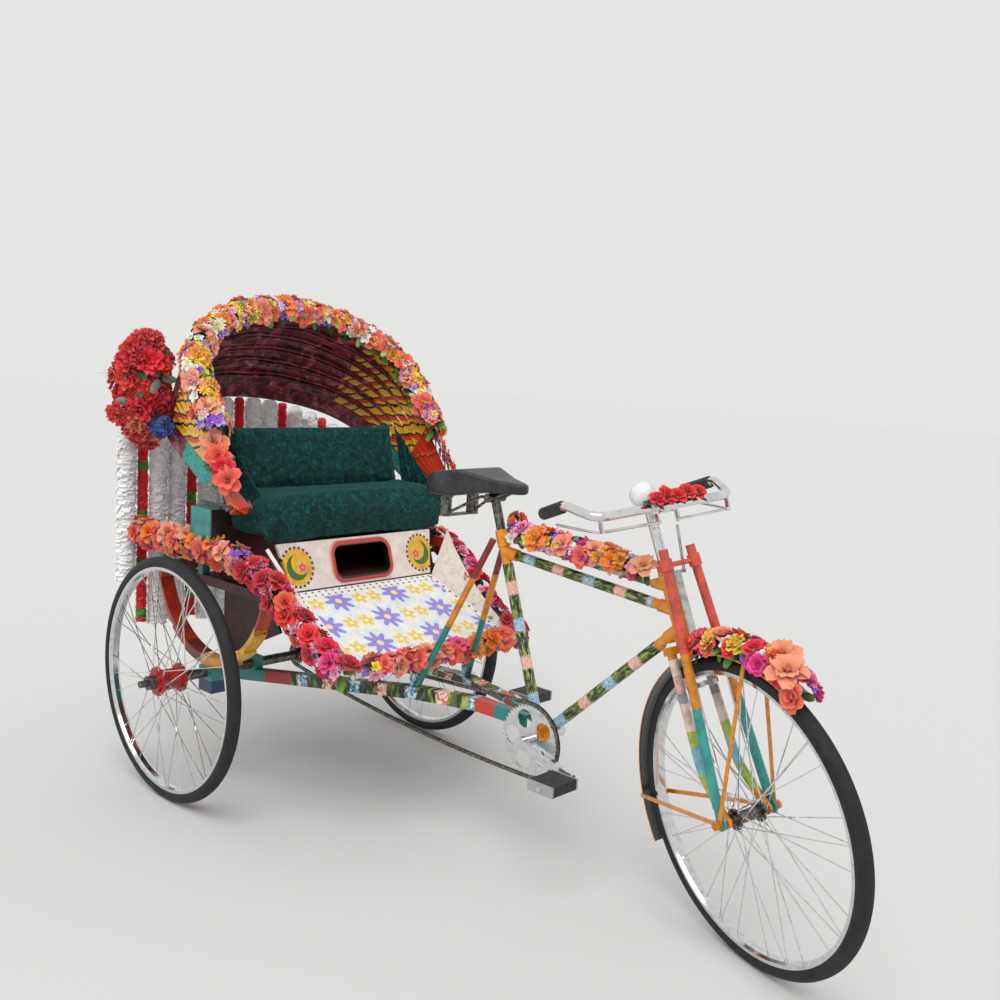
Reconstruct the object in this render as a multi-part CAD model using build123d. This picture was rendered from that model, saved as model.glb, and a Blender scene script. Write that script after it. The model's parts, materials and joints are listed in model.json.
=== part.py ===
from build123d import *
import os
from math import acos, atan2, cos, degrees, pi, radians, sin, sqrt, tan

# Cycle rickshaw: a roadster bicycle front on a two-wheeled passenger body with a folding hood.
# Millimetres. +X is forward, +Y the rider's left and +Z up. While it is modelled, x is counted
# from the rear axle; the finished pieces are then centred on the length of the whole vehicle.

# Wheels
RIM_SEAT_R = 326.0       # where the tyre sits on the rim
TYRE_R = 19.0            # half of the tyre's section
TYRE_STAND = 10.0        # from the rim's seat out to the middle of that section
RIM_CENTRE_R = RIM_SEAT_R + TYRE_STAND
WHEEL_R = RIM_CENTRE_R + TYRE_R
RIM_DEPTH = 13.0
RIM_HALF_W = 15.0
RIM_WALL = 2.5
SPOKE_COUNT = 36
SPOKE_W = 2.2
SPOKE_CROSSES = 3
TRACK = 1000.0           # between the rear wheels' centres
FIT = 0.05               # radial clearance of a running fit
SEAT = 0.3               # gap between a soft piece and what carries it

# Rear axle
AXLE_R = 15.0
AXLE_END_R = 10.0
AXLE_OVERHANG = 90.0     # from the wheel's centre to the axle's end
HUB_R = 30.0
HUB_HALF = 45.0
HUB_FLANGE_R = 42.0
HUB_FLANGE_T = 5.0
HUB_CAP_R = 20.0

# Front end
WHEELBASE = 1612.2
HEAD_ANGLE = 67.1        # between the steering axis and the floor
RAKE = 62.0
STEER_AT_REST = 19.7     # the bars are turned to the right
FORK_LENGTH = WHEEL_R + 46.0     # from level with the wheel's centre to the lower head race
HEAD_TUBE = 154.0
HEAD_R = 18.0
STEERER_R = 14.0
BLADE_R = 11.0
BLADE_HALF_TOP = 43.0
BLADE_HALF_LOW = 58.5
FRONT_AXLE_R = 5.0
FRONT_AXLE_HALF = 96.0
FRONT_HUB_HALF = 44.0
FRONT_HUB_R = 14.0
FRONT_FLANGE_R = 24.0
FRONT_FLANGE_HALF = 34.0

# Frame
BB_X = 987.0
BB_Z = WHEEL_R - 3.0
BB_HALF = 35.0
BB_R = 21.0
SEAT_ANGLE = 71.0
SEAT_TUBE = 548.0
TUBE_R = 14.0
TOP_TUBE_R = 13.0
LUG_WALL = 3.0
LUG_LENGTH = 45.0
UPPER_TUBE_DOWN = 26.0   # below the top of the head tube
LOWER_TUBE_DOWN = 84.0
DOWN_TUBE_UP = 28.0      # above the bottom of the head tube
UPPER_TUBE_BACK = 12.0   # below the top of the seat tube
LOWER_TUBE_BACK = 58.0
SEAT_POST_R = 12.5

# Cranks and chain
PITCH = 12.7
RING_TEETH = 48
SPROCKET_TEETH = 18
CHAIN_Y = -45.0
ROLLER_R = 3.8
CHAIN_PLATE_H = 9.0
CHAIN_PLATE_T = 1.5
CHAIN_HALF_IN = 2.1
CHAIN_SAG = 20.0
TOOTH_T = 2.8
CRANK = 169.0
CRANK_DOWN = 14.5        # the right crank points forward and this far down
CRANK_IN = 70.0
CRANK_T = 12.0
CRANK_W = 24.0
CRANK_BOSS_R = 16.0
CRANK_EYE_R = 14.0
BB_AXLE_R = 8.0
PEDAL_PIN_R = 6.0
RING_ARMS = 5
RING_HOLE_R = 24.0       # between the chain ring's arms
RING_HOLES_AT = 56.0
PEDAL_IN = 92.0
PEDAL_W = 96.0
PEDAL_L = 78.0
PEDAL_H = 26.0

# Chassis
RAIL_LEG = 35.0
RAIL_T = 4.0
SPRING_Y = 350.0
SPRING_R = 287.0
SPRING_SPAN = 74.0       # degrees of arc to each side
LEAF_W = 45.0
LEAF_T = 7.0
BLOCK_LOW = WHEEL_R - 59.0
BLOCK_HALF_X = 34.0
BLOCK_HALF_Y = 30.0

# Body
DECK_LOW = WHEEL_R + 257.0
DECK_T = 28.0
DECK_REAR = -300.0
DECK_FRONT = 255.0
DECK_HALF = 365.0
BEAM_W = 30.0
BOX_REAR = -62.0
BOX_HALF = 296.0
BOX_TOP = DECK_LOW + 178.0
BOARD_T = 12.0
FOOT_REAR_X = 266.0
FOOT_REAR_Z = DECK_LOW + 16.0
FOOT_FRONT_X = 603.0
FOOT_FRONT_Z = DECK_LOW - 130.0
FOOT_REAR_HALF = 266.0
FOOT_FRONT_HALF = 308.0
PANEL_TOP_X = 220.0
PANEL_TOP_Z = DECK_LOW + 153.0
PANEL_T = 10.0
HATCH_W = 205.0
HATCH_H = 92.0
SIDE_TOP_X = 252.0
SIDE_TOP_Z = DECK_LOW + 151.0
SIDE_TOP_HALF = 345.0
SIDE_T = 10.0
CUSHION_HALF = 343.0
CUSHION_TOP = DECK_LOW + 280.0
CUSHION_FRONT = 236.0
BACK_HALF = 325.0
BACK_BOTTOM_X = 44.0
BACK_TOP_Z = DECK_LOW + 478.0
BACK_LEAN = 16.4
BACK_T = 60.0
RAILING_LOW = DECK_LOW + 93.0
RAILING_T = 30.0
RAILING_IN = 340.0
RAILING_OUT = 365.0
RAILING_REAR = -412.0
ARM_REAR = -50.0
ARM_FRONT = 62.0
ARM_TOP = DECK_LOW + 238.0
ARM_OUT = 408.0

# Hood
PIVOT_X = 187.0
PIVOT_Z = DECK_LOW + 261.0
PIVOT_R = 4.0
RIBS = 6                 # the rear one is fixed
RIB_REAR_ANGLE = 30.0    # above the level behind the pivot
RIB_STEP = 4.6
RIB_W = 26.0
RIB_T = 7.0
RIB_GAP = 1.5
RIB_INNER_HALF = 384.0   # outside of the fixed rib
RIB_HEIGHT = 682.0
RIB_CORNER_R = 250.0
RIB_CROWN_R = 520.0
PLEAT_W = 7.6            # folded cover between two ribs
PLEAT_T = 20.0
PLEAT_ROOM = 1.6         # between a pleat and the rib behind it, where the pleat ends
COVER_W = 62.0           # the strip of cover behind the fixed rib
CURTAIN_X = -430.0
CURTAIN_T = 24.0
CURTAIN_LOW = 425.0
CURTAIN_TOP = 1150.0
CURTAIN_DROP = 110.0     # lower at the outer strands
WHITE_W = 66.0
RED_W = 42.0
STRAND_GAP = 0.6

# Mudguard. Its angles are counted up from the level of the steering parts, ahead of the hub
GUARD_R = WHEEL_R + 19.0
GUARD_HALF = 29.0
GUARD_T = 2.0
GUARD_DROP = 9.0         # its edges lie this far inside its crown
GUARD_FROM = 42.0
GUARD_TO = 190.0
GUARD_STAYS_AT = (64.0, 172.0)
GUARD_STAY_W = 10.0
GUARD_STAY_T = 3.0

# Flowers
HOOD_GARLAND_OUT = 44.0  # beyond the outside of the front rib
HOOD_GARLAND_T = 70.0
HOOD_GARLAND_W = 50.0
HOOD_GARLAND_FOOT = 190.0
BOUQUET_R = 90.0
BOUQUET_HALF = 125.0
SIDE_GARLAND_R = 32.0
ACROSS_R = 26.0
TUBE_GARLAND_R = 34.0
GUARD_GARLAND_HALF = 42.0
GUARD_GARLAND_T = 66.0
GUARD_GARLAND_FROM = 38.0
GUARD_GARLAND_TO = 92.0
CLEAR = 6.0              # between what is tied on and the parts that move past it

CENTRE = (Align.CENTER, Align.CENTER, Align.CENTER)
RISING = (Align.CENTER, Align.CENTER, Align.MIN)

# Places worked out from the sizes above
ha = radians(HEAD_ANGLE)
turn = radians(STEER_AT_REST)
UP_AXIS = Vector(-cos(ha), 0, sin(ha))
FORWARD = Vector(sin(ha), 0, cos(ha))
lean_z = sin(turn) * cos(ha)
lean_x = sin(turn) * sin(ha)
front_z = TYRE_R + RIM_CENTRE_R * sqrt(1 - lean_z ** 2) + RAKE * cos(ha) * (1 - cos(turn))
FOOT = Vector(WHEELBASE, 0, front_z) - FORWARD * RAKE
STEER_PLANE = Plane(origin=FOOT, x_dir=FORWARD, z_dir=UP_AXIS)
STEERING = STEER_PLANE.location * Location((0, 0, 0), (0, 0, -STEER_AT_REST))
HEAD_LOW = FORK_LENGTH
HEAD_TOP = FORK_LENGTH + HEAD_TUBE
front_tip = FOOT.X + RAKE * cos(turn) * sin(ha) + TYRE_R + RIM_CENTRE_R * sqrt(1 - lean_x ** 2)
rear_tip = CURTAIN_X - CURTAIN_T / 2
TO_CENTRE = Location((-(front_tip + rear_tip) / 2, 0, 0))
BB = Vector(BB_X, 0, BB_Z)
sa = radians(SEAT_ANGLE)
SEAT_UP = Vector(-cos(sa), 0, sin(sa))
SEAT_TOP = BB + SEAT_UP * SEAT_TUBE
RING_R = RING_TEETH * PITCH / (2 * pi)
SPROCKET_R = SPROCKET_TEETH * PITCH / (2 * pi)


def rod(a, b, radius):
    """Round bar from a to b."""
    a, b = Vector(*a), Vector(*b)
    return Plane(origin=a, z_dir=b - a) * Cylinder(radius, (b - a).length, align=RISING)


def bent_rod(points, radius, bend):
    """Round bar along straight runs with rounded bends."""
    path = FilletPolyline(*points, radius=bend)
    return sweep(Plane(origin=path @ 0, z_dir=path % 0) * Circle(radius), path=path)


def flat_bar(a, b, width, thick, normal):
    """Flat bar from a to b, its broad side facing the normal."""
    a, b, normal = Vector(*a), Vector(*b), Vector(*normal)
    run = (b - a).normalized()
    face = normal - run * normal.dot(run)
    plane = Plane(origin=a, x_dir=face, z_dir=run)
    return plane * Box(thick, width, (b - a).length, align=RISING)


def block(x, y, z):
    """Square block between pairs of limits."""
    size = (x[1] - x[0], y[1] - y[0], z[1] - z[0])
    middle = (sum(x) / 2, sum(y) / 2, sum(z) / 2)
    return Pos(*middle) * Box(*size)


def slab(outline, y):
    """Side outline in x and z, cut from a board between two y limits."""
    face = make_face(Polyline(*[(p[0], 0, p[1]) for p in outline], close=True))
    middle = Pos(0, sum(y) / 2, 0) * face
    return extrude(middle, amount=(y[1] - y[0]) / 2, dir=(0, 1, 0), both=True)


def both_sides(piece):
    """The piece and its mirror image on the other side of the vehicle."""
    return Part() + [piece, mirror(piece, about=Plane.XZ)]


def spin(profile):
    """Turn a radius and width outline, drawn as (r, y), about the Y axis."""
    face = make_face(profile)
    return revolve(face, axis=Axis.Y)


# Wheels, each modelled about the Y axis through the origin
def tyre():
    half = acos((RIM_CENTRE_R - RIM_SEAT_R) / TYRE_R)
    w = TYRE_R * sin(half)
    arc = ThreePointArc((RIM_SEAT_R, -w, 0), (WHEEL_R, 0, 0), (RIM_SEAT_R, w, 0))
    return spin(arc + Line((RIM_SEAT_R, w, 0), (RIM_SEAT_R, -w, 0)))


def rim_ring():
    outer = RIM_SEAT_R - SEAT
    inner = RIM_SEAT_R - RIM_DEPTH
    wall = RIM_HALF_W - RIM_WALL
    outline = Polyline(
        (outer, -RIM_HALF_W, 0), (inner + 4, -RIM_HALF_W, 0), (inner, -RIM_HALF_W / 2, 0),
        (inner, RIM_HALF_W / 2, 0), (inner + 4, RIM_HALF_W, 0), (outer, RIM_HALF_W, 0),
        (outer, wall, 0), (inner + 4, wall - 2, 0), (inner + 4, 2 - wall, 0), (outer, -wall, 0),
        close=True)
    return spin(outline)


def spokes(flange_r, flange_y):
    """Crossed spokes from both flanges to the rim."""
    per_side = SPOKE_COUNT // 2
    step = 360.0 / per_side
    swing = SPOKE_CROSSES * 360.0 / SPOKE_COUNT * 2
    rim_r = RIM_SEAT_R - RIM_DEPTH + 2
    made = []
    for side in (-1, 1):
        for k in range(per_side):
            way = 1 if k % 2 else -1
            at_hub = radians(k * step + side * step / 4)
            at_rim = at_hub + radians(way * swing / 2 * 0.5)
            y_hub = side * (flange_y + way * 2.2)
            a = (flange_r * cos(at_hub - radians(way * swing / 2 * 0.9)), y_hub,
                 flange_r * sin(at_hub - radians(way * swing / 2 * 0.9)))
            b = (rim_r * cos(at_rim), side * 3.0, rim_r * sin(at_rim))
            made.append(flat_bar(a, b, SPOKE_W, SPOKE_W, (0, 1, 0)))
    return made


def wire_rim(flange_r, flange_y, hub):
    wheel = rim_ring() + spokes(flange_r, flange_y)
    return wheel - hub


def rear_hub():
    outline = Polyline(
        (AXLE_END_R + FIT, -HUB_HALF, 0), (HUB_R, -HUB_HALF, 0), (HUB_R, HUB_HALF, 0),
        (AXLE_END_R + FIT, HUB_HALF, 0), close=True)
    hub = spin(outline)
    ring_out = HUB_HALF - 10
    for side in (-1, 1):
        low = side * ring_out - HUB_FLANGE_T / 2
        flange = Polyline(
            (HUB_R - 2, low, 0), (HUB_FLANGE_R, low, 0),
            (HUB_FLANGE_R, low + HUB_FLANGE_T, 0), (HUB_R - 2, low + HUB_FLANGE_T, 0), close=True)
        hub += spin(flange)
    return hub


def front_hub():
    bore = FRONT_AXLE_R + FIT
    flange_in = FRONT_FLANGE_HALF - 2
    flange_out = FRONT_FLANGE_HALF + 2
    outline = Polyline(
        (bore, -FRONT_HUB_HALF, 0), (FRONT_HUB_R, -FRONT_HUB_HALF, 0),
        (FRONT_HUB_R, -flange_out, 0), (FRONT_FLANGE_R, -flange_out, 0),
        (FRONT_FLANGE_R, -flange_in, 0), (FRONT_HUB_R, -flange_in, 0),
        (FRONT_HUB_R, flange_in, 0), (FRONT_FLANGE_R, flange_in, 0),
        (FRONT_FLANGE_R, flange_out, 0), (FRONT_HUB_R, flange_out, 0),
        (FRONT_HUB_R, FRONT_HUB_HALF, 0), (bore, FRONT_HUB_HALF, 0), close=True)
    return spin(outline)


parts = {}

AXLE_HALF = TRACK / 2 + AXLE_OVERHANG
hub = rear_hub()
rear_rim = wire_rim(HUB_FLANGE_R - 5, HUB_HALF - 10, hub)
plain_tyre = tyre()
for side, name in ((-1, "right"), (1, "left")):
    place = Pos(0, side * TRACK / 2, WHEEL_R)
    parts[name + "_tyre"] = place * plain_tyre
    parts[name + "_rim"] = place * rear_rim
    parts[name + "_hub"] = place * hub

# Rear axle with its sprocket, in one piece from nut to nut
axle = rod((0, -TRACK / 2 + HUB_HALF + 4, WHEEL_R), (0, TRACK / 2 - HUB_HALF - 4, WHEEL_R), AXLE_R)
axle += rod((0, -AXLE_HALF, WHEEL_R), (0, AXLE_HALF, WHEEL_R), AXLE_END_R)
for side in (-1, 1):
    nut_in = side * (TRACK / 2 + HUB_HALF + 1)
    nut_out = side * (TRACK / 2 + HUB_HALF + 22)
    axle += rod((0, nut_in, WHEEL_R), (0, nut_out, WHEEL_R), HUB_CAP_R)


def toothed(teeth, pitch_r, tip, root, thick):
    """Chain wheel blank with pointed teeth, flat in the XZ plane about the origin."""
    points = []
    for k in range(teeth):
        a = 2 * pi * k / teeth
        for share, r in ((0.0, root), (0.28, root), (0.44, tip), (0.56, tip), (0.72, root)):
            b = a + 2 * pi / teeth * share
            if share == 0.0:
                continue
            points.append((r * cos(b), 0, r * sin(b)))
    face = make_face(Polyline(*points, close=True))
    return extrude(face, amount=thick / 2, dir=(0, 1, 0), both=True)


TIP_DROP = ROLLER_R + 0.6
sprocket = toothed(SPROCKET_TEETH, SPROCKET_R, SPROCKET_R - TIP_DROP, SPROCKET_R - TIP_DROP - 5, TOOTH_T)
boss = rod((0, -14, 0), (0, 14, 0), AXLE_R + 6)
axle += Pos(0, CHAIN_Y, WHEEL_R) * (sprocket + boss)
parts["rear_axle"] = axle

# Chain: two side plates that run all round, with rollers between them
lower_mid = (BB_X / 2, (WHEEL_R - SPROCKET_R + BB_Z - RING_R) / 2 - CHAIN_SAG)


def chain_line(offset):
    """Closed outline of the chain, moved outwards from the pitch line."""
    big, small = RING_R + offset, SPROCKET_R + offset
    over = atan2(BB_Z - WHEEL_R, BB_X)
    rise = acos((big - small) / sqrt(BB_X ** 2 + (BB_Z - WHEEL_R) ** 2))
    t = over + (pi - rise)
    big_top = (BB_X + big * cos(t), 0, BB_Z + big * sin(t))
    small_top = (small * cos(t), 0, WHEEL_R + small * sin(t))
    low = -pi / 2 + radians(3)
    big_low = (BB_X + big * cos(low - radians(6)), 0, BB_Z + big * sin(low - radians(6)))
    small_low = (small * cos(low), 0, WHEEL_R + small * sin(low))
    sag = (lower_mid[0], 0, lower_mid[1] - offset)
    return [
        Line(small_top, big_top),
        ThreePointArc(big_top, (BB_X + big, 0, BB_Z), big_low),
        ThreePointArc(big_low, sag, small_low),
        ThreePointArc(small_low, (-small, 0, WHEEL_R), small_top),
    ]


def chain():
    half = CHAIN_PLATE_H / 2
    outer = make_face(Curve() + chain_line(half))
    inner = make_face(Curve() + chain_line(-half))
    band = outer - inner
    made = []
    for side in (-1, 1):
        low = CHAIN_Y + side * (CHAIN_HALF_IN + CHAIN_PLATE_T / 2)
        made.append(Pos(0, low, 0) * extrude(band, amount=CHAIN_PLATE_T / 2, dir=(0, 1, 0), both=True))
    line = Wire(chain_line(0))
    count = round(line.length / PITCH)
    for k in range(count):
        p = line @ (k / count)
        pin = Pos(p.X, CHAIN_Y, p.Z) * Rot(90, 0, 0) * Box(ROLLER_R, ROLLER_R, 2 * CHAIN_HALF_IN)
        made.append(pin)
    return Part() + made


parts["chain"] = chain()

# Chainset: axle, chainring with five arms, and both cranks
ring = toothed(RING_TEETH, RING_R, RING_R - TIP_DROP, RING_R - TIP_DROP - 5, TOOTH_T)
for k in range(RING_ARMS):
    a = 2 * pi * (k + 0.5) / RING_ARMS
    hole = Vector(RING_HOLES_AT * cos(a), 0, RING_HOLES_AT * sin(a))
    ring -= rod(hole - Vector(0, TOOTH_T, 0), hole + Vector(0, TOOTH_T, 0), RING_HOLE_R)
chainset = rod((0, -CRANK_IN - CRANK_T, 0), (0, CRANK_IN + CRANK_T, 0), BB_AXLE_R)
chainset += Pos(0, CHAIN_Y, 0) * ring
chainset += rod((0, -CRANK_IN - CRANK_T, 0), (0, CHAIN_Y + 6, 0), CRANK_BOSS_R)
chainset += rod((0, BB_HALF + 6, 0), (0, CRANK_IN + CRANK_T, 0), CRANK_BOSS_R)
for side in (-1, 1):
    a = radians(-CRANK_DOWN) if side < 0 else radians(180 - CRANK_DOWN)
    tip = (CRANK * cos(a), 0, CRANK * sin(a))
    y = side * (CRANK_IN + CRANK_T / 2)
    arm = flat_bar((0, y, 0), (tip[0], y, tip[2]), CRANK_W, CRANK_T, (0, 1, 0))
    crank_in = (tip[0], side * CRANK_IN, tip[2])
    pin_end = (tip[0], side * (PEDAL_IN + PEDAL_W + 6), tip[2])
    eye = rod(crank_in, (tip[0], side * (CRANK_IN + CRANK_T), tip[2]), CRANK_EYE_R)
    pin = rod(crank_in, pin_end, PEDAL_PIN_R)
    chainset += arm + eye + pin
    body = Pos(tip[0], side * (PEDAL_IN + PEDAL_W / 2), tip[2]) * Box(PEDAL_L, PEDAL_W, PEDAL_H)
    core = rod((tip[0], side * (PEDAL_IN - 5), tip[2]), pin_end, PEDAL_PIN_R + FIT)
    name = "pedal_right" if side < 0 else "pedal_left"
    parts[name] = Pos(BB_X, 0, BB_Z) * (body - core)
parts["chainset"] = Pos(BB_X, 0, BB_Z) * chainset

# Bicycle frame
def on_head(along):
    """Point on the steering axis, counted upwards from level with the front wheel's centre."""
    return FOOT + UP_AXIS * along


head_low, head_top = on_head(HEAD_LOW), on_head(HEAD_TOP)
joints = (
    # lower or rear end, upper or front end, tube radius
    (SEAT_TOP - SEAT_UP * UPPER_TUBE_BACK, on_head(HEAD_TOP - UPPER_TUBE_DOWN), TOP_TUBE_R),
    (SEAT_TOP - SEAT_UP * LOWER_TUBE_BACK, on_head(HEAD_TOP - LOWER_TUBE_DOWN), TOP_TUBE_R),
    (BB, on_head(HEAD_LOW + DOWN_TUBE_UP), TUBE_R),
    (BB, SEAT_TOP, TUBE_R),
)
bike_frame = rod(head_low, head_top, HEAD_R) + rod((BB_X, -BB_HALF, BB_Z), (BB_X, BB_HALF, BB_Z), BB_R)
for low, high, radius in joints:
    run = (high - low).normalized()
    bike_frame += rod(low, high, radius)
    bike_frame += rod(high - run * LUG_LENGTH, high, radius + LUG_WALL)
    bike_frame += rod(low, low + run * LUG_LENGTH, radius + LUG_WALL)
for end in (head_low, head_top - UP_AXIS * 12):
    bike_frame += rod(end, end + UP_AXIS * 12, HEAD_R + 4)
bike_frame += rod(SEAT_TOP - SEAT_UP * 30, SEAT_TOP, TUBE_R + LUG_WALL)
bike_frame -= rod(on_head(HEAD_LOW - 5), on_head(HEAD_TOP + 5), STEERER_R + FIT)
for end, way in ((head_low, -1), (head_top, 1)):
    bike_frame -= rod(end, end + UP_AXIS * (way * 60), 60)
bike_frame -= rod((BB_X, -BB_HALF - 5, BB_Z), (BB_X, BB_HALF + 5, BB_Z), BB_AXLE_R + FIT)
bike_frame -= rod(SEAT_TOP - SEAT_UP * 140, SEAT_TOP + SEAT_UP * 40, SEAT_POST_R + FIT)
parts["bike_frame"] = bike_frame

# Saddle on its post
SADDLE_NOSE_X = 890.0
SADDLE_TAIL_X = 584.0
SADDLE_TOP_Z = SEAT_TOP.Z + 155.9
SADDLE_LOW_Z = SADDLE_TOP_Z - 74.0
post_top = BB + SEAT_UP * (SEAT_TUBE + 88)
nose = Pos(SADDLE_NOSE_X - 24, 0) * Circle(24)
tail = Pos(SADDLE_TAIL_X + 70, 40) * Circle(68) + Pos(SADDLE_TAIL_X + 70, -40) * Circle(68)
plan = make_hull((nose + tail).edges())
saddle = Pos(0, 0, SADDLE_LOW_Z - 30) * extrude(plan, amount=140)
side_view = (
    (SADDLE_TAIL_X - 10, SADDLE_LOW_Z), (SADDLE_TAIL_X - 10, SADDLE_TOP_Z - 41),
    (SADDLE_TAIL_X + 60, SADDLE_TOP_Z - 12), (718, SADDLE_TOP_Z), (800, SADDLE_TOP_Z - 18),
    (SADDLE_NOSE_X + 10, SADDLE_TOP_Z - 28), (SADDLE_NOSE_X + 10, SADDLE_TOP_Z - 54),
    (770, SADDLE_TOP_Z - 58), (700, SADDLE_LOW_Z))
saddle = saddle & slab(side_view, (-120, 120))
post = rod(SEAT_TOP - SEAT_UP * 130, post_top, SEAT_POST_R)
springs = Part()
for y in (-52, 52):
    springs += rod((SADDLE_TAIL_X + 62, y, SADDLE_LOW_Z - 62), (SADDLE_TAIL_X + 62, y, SADDLE_LOW_Z), 17)
    springs += bent_rod([(SADDLE_TAIL_X + 62, y, SADDLE_LOW_Z - 58), (750, y * 0.45, post_top.Z),
                         (800, y * 0.3, post_top.Z + 4), (860, y * 0.16, SADDLE_TOP_Z - 41)], 4, 12)
springs += rod((post_top.X, -32, post_top.Z), (post_top.X, 32, post_top.Z), 12)
springs += flat_bar((SADDLE_TAIL_X + 62, -60, SADDLE_LOW_Z - 60), (SADDLE_TAIL_X + 62, 60, SADDLE_LOW_Z - 60),
                    24, 5, (0, 0, 1))
parts["saddle"] = saddle
parts["saddle_post"] = (post + springs) - saddle

# Seat stays down to the chassis rails
STAY_FOOT_X = 617.0
STAY_FOOT_HALF = 108.0
RAIL_TOP_AXLE_AT = WHEEL_R - 26.0
RAIL_TOP_STAY = BB_Z + 61.0
RAIL_TOP_BEND = BB_Z + 66.0
RAIL_TOP_END = BB_Z + 52.0
rail_points = (
    # x, y of the rail's outer side, z of its top
    (-62.0, 236.0, RAIL_TOP_AXLE_AT),
    (STAY_FOOT_X, 112.0, RAIL_TOP_STAY),
    (800.0, 60.0, RAIL_TOP_BEND),
    (955.0, 24.0, RAIL_TOP_END),
)


def rail_run(a, b):
    """One straight run of angle iron: a leg down the outer side and a flange inwards at the top."""
    outline = [a, b, (b[0], b[1], b[2] - RAIL_LEG), (a[0], a[1], a[2] - RAIL_LEG)]
    leg = extrude(make_face(Polyline(*outline, close=True)), amount=-RAIL_T, dir=(0, 1, 0))
    wide_a, wide_b = min(RAIL_LEG, a[1] - 3), min(RAIL_LEG, b[1] - 3)
    flat = [a, b, (b[0], b[1] - wide_b, b[2]), (a[0], a[1] - wide_a, a[2])]
    top = extrude(make_face(Polyline(*flat, close=True)), amount=-RAIL_T, dir=(0, 0, 1))
    return leg + top


rail = Part()
for a, b in zip(rail_points, rail_points[1:]):
    rail += rail_run(a, b)
rail += block((595, 612), (STAY_FOOT_HALF - 14, STAY_FOOT_HALF), (RAIL_TOP_STAY - 6, FOOT_FRONT_Z - 3))
stay = rod(SEAT_TOP + Vector(-4, TUBE_R + LUG_WALL + 7, -24), (STAY_FOOT_X, STAY_FOOT_HALF - 9, RAIL_TOP_STAY + 1), 9)

seat_core = rod(SEAT_TOP - SEAT_UP * 140, SEAT_TOP, TUBE_R + LUG_WALL)
parts["seat_stays"] = both_sides(stay) - bike_frame - seat_core
chassis_rails = both_sides(rail) - bike_frame - parts["seat_stays"]

# Bearings that carry the rear axle, on the rails and under the springs
SPRING_LOW = WHEEL_R + 17.0
rail_rise = (rail_points[1][2] - rail_points[0][2]) / (rail_points[1][0] - rail_points[0][0])
rail_z = RAIL_TOP_AXLE_AT - rail_rise * rail_points[0][0]
bearings = Part()
for y, low, high, half_x, half_y in (
        (207.0, rail_z - 20, WHEEL_R + 24, 22, 15),
        (SPRING_Y, BLOCK_LOW, SPRING_LOW, BLOCK_HALF_X, BLOCK_HALF_Y)):
    bearings += block((-half_x, half_x), (y - half_y, y + half_y), (low, high))
bearings -= rod((0, 0, WHEEL_R), (0, TRACK, WHEEL_R), AXLE_R + FIT)
under_rail = slab(((-80, rail_z - 80 * rail_rise), (80, rail_z + 80 * rail_rise), (80, 250), (-80, 250)), (150, 240))
axle_bearings = both_sides(bearings - under_rail)
parts["axle_bearings"] = axle_bearings

# Leaf springs: four bowed leaves, each shorter than the one above it
arc_z = SPRING_LOW + 3 * LEAF_T + SPRING_R
spring = Part()
for n, half_span in enumerate((SPRING_SPAN, 56.0, 40.0, 24.0)):
    inner = SPRING_R + n * LEAF_T - LEAF_T
    outer = inner + LEAF_T
    lo, hi = radians(-90 - half_span), radians(-90 + half_span)
    mid = -pi / 2
    a = [(r * cos(t), 0, arc_z + r * sin(t)) for r in (inner, outer) for t in (lo, mid, hi)]
    edges = [ThreePointArc(a[0], a[1], a[2]), Line(a[2], a[5]), ThreePointArc(a[5], a[4], a[3]), Line(a[3], a[0])]
    leaf = extrude(make_face(Curve() + edges), amount=LEAF_W / 2, dir=(0, 1, 0), both=True)
    spring += Pos(-8, SPRING_Y, 0) * leaf
for way in (-1, 1):
    t = radians(-90 + way * SPRING_SPAN)
    x = -8 + (SPRING_R - LEAF_T / 2) * cos(t)
    z = arc_z + (SPRING_R - LEAF_T / 2) * sin(t)
    spring += block((x - 12, x + 12), (SPRING_Y - LEAF_W / 2, SPRING_Y + LEAF_W / 2), (z - 8, DECK_LOW))
parts["leaf_springs"] = both_sides(spring) - axle_bearings

# Deck: two long bearers and three cross pieces
deck = block((DECK_REAR, DECK_FRONT), (DECK_HALF - BEAM_W, DECK_HALF), (DECK_LOW, DECK_LOW + DECK_T))
deck = both_sides(deck)
for x in (DECK_REAR + 20, BOX_REAR + 10, DECK_FRONT - 60):
    deck += block((x - 20, x + 20), (-DECK_HALF, DECK_HALF), (DECK_LOW, DECK_LOW + DECK_T))

# Footboard, sloping down to the front, on two bearers
foot_rise = (FOOT_REAR_Z - FOOT_FRONT_Z) / (FOOT_FRONT_X - FOOT_REAR_X)
foot_outline = (
    (FOOT_REAR_X, -FOOT_REAR_HALF), (FOOT_FRONT_X, -FOOT_FRONT_HALF),
    (FOOT_FRONT_X, FOOT_FRONT_HALF), (FOOT_REAR_X, FOOT_REAR_HALF))


def foot_top(x):
    """Height of the footboard's upper side."""
    return FOOT_FRONT_Z + (FOOT_FRONT_X - x) * foot_rise


board = make_face(Polyline(*[(x, y, foot_top(x)) for x, y in foot_outline], close=True))
footboard = extrude(board, amount=-14, dir=(0, 0, 1))
foot_bearer = (
    (DECK_FRONT - 80, DECK_LOW), (DECK_FRONT - 80, DECK_LOW - 28),
    (DECK_FRONT, DECK_LOW - 28), (FOOT_FRONT_X - 30, foot_top(FOOT_FRONT_X - 30) - 44),
    (FOOT_FRONT_X - 30, foot_top(FOOT_FRONT_X - 30) - 14), (FOOT_REAR_X, foot_top(FOOT_REAR_X) - 14),
    (FOOT_REAR_X, DECK_LOW))
deck += both_sides(slab(foot_bearer, (185, 215)))
parts["deck_frame"] = deck
parts["footboard"] = footboard
parts["chassis_rails"] = chassis_rails - Pos(0, 0, -0.01) * extrude(board, amount=200, dir=(0, 0, 1)) - footboard

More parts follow.
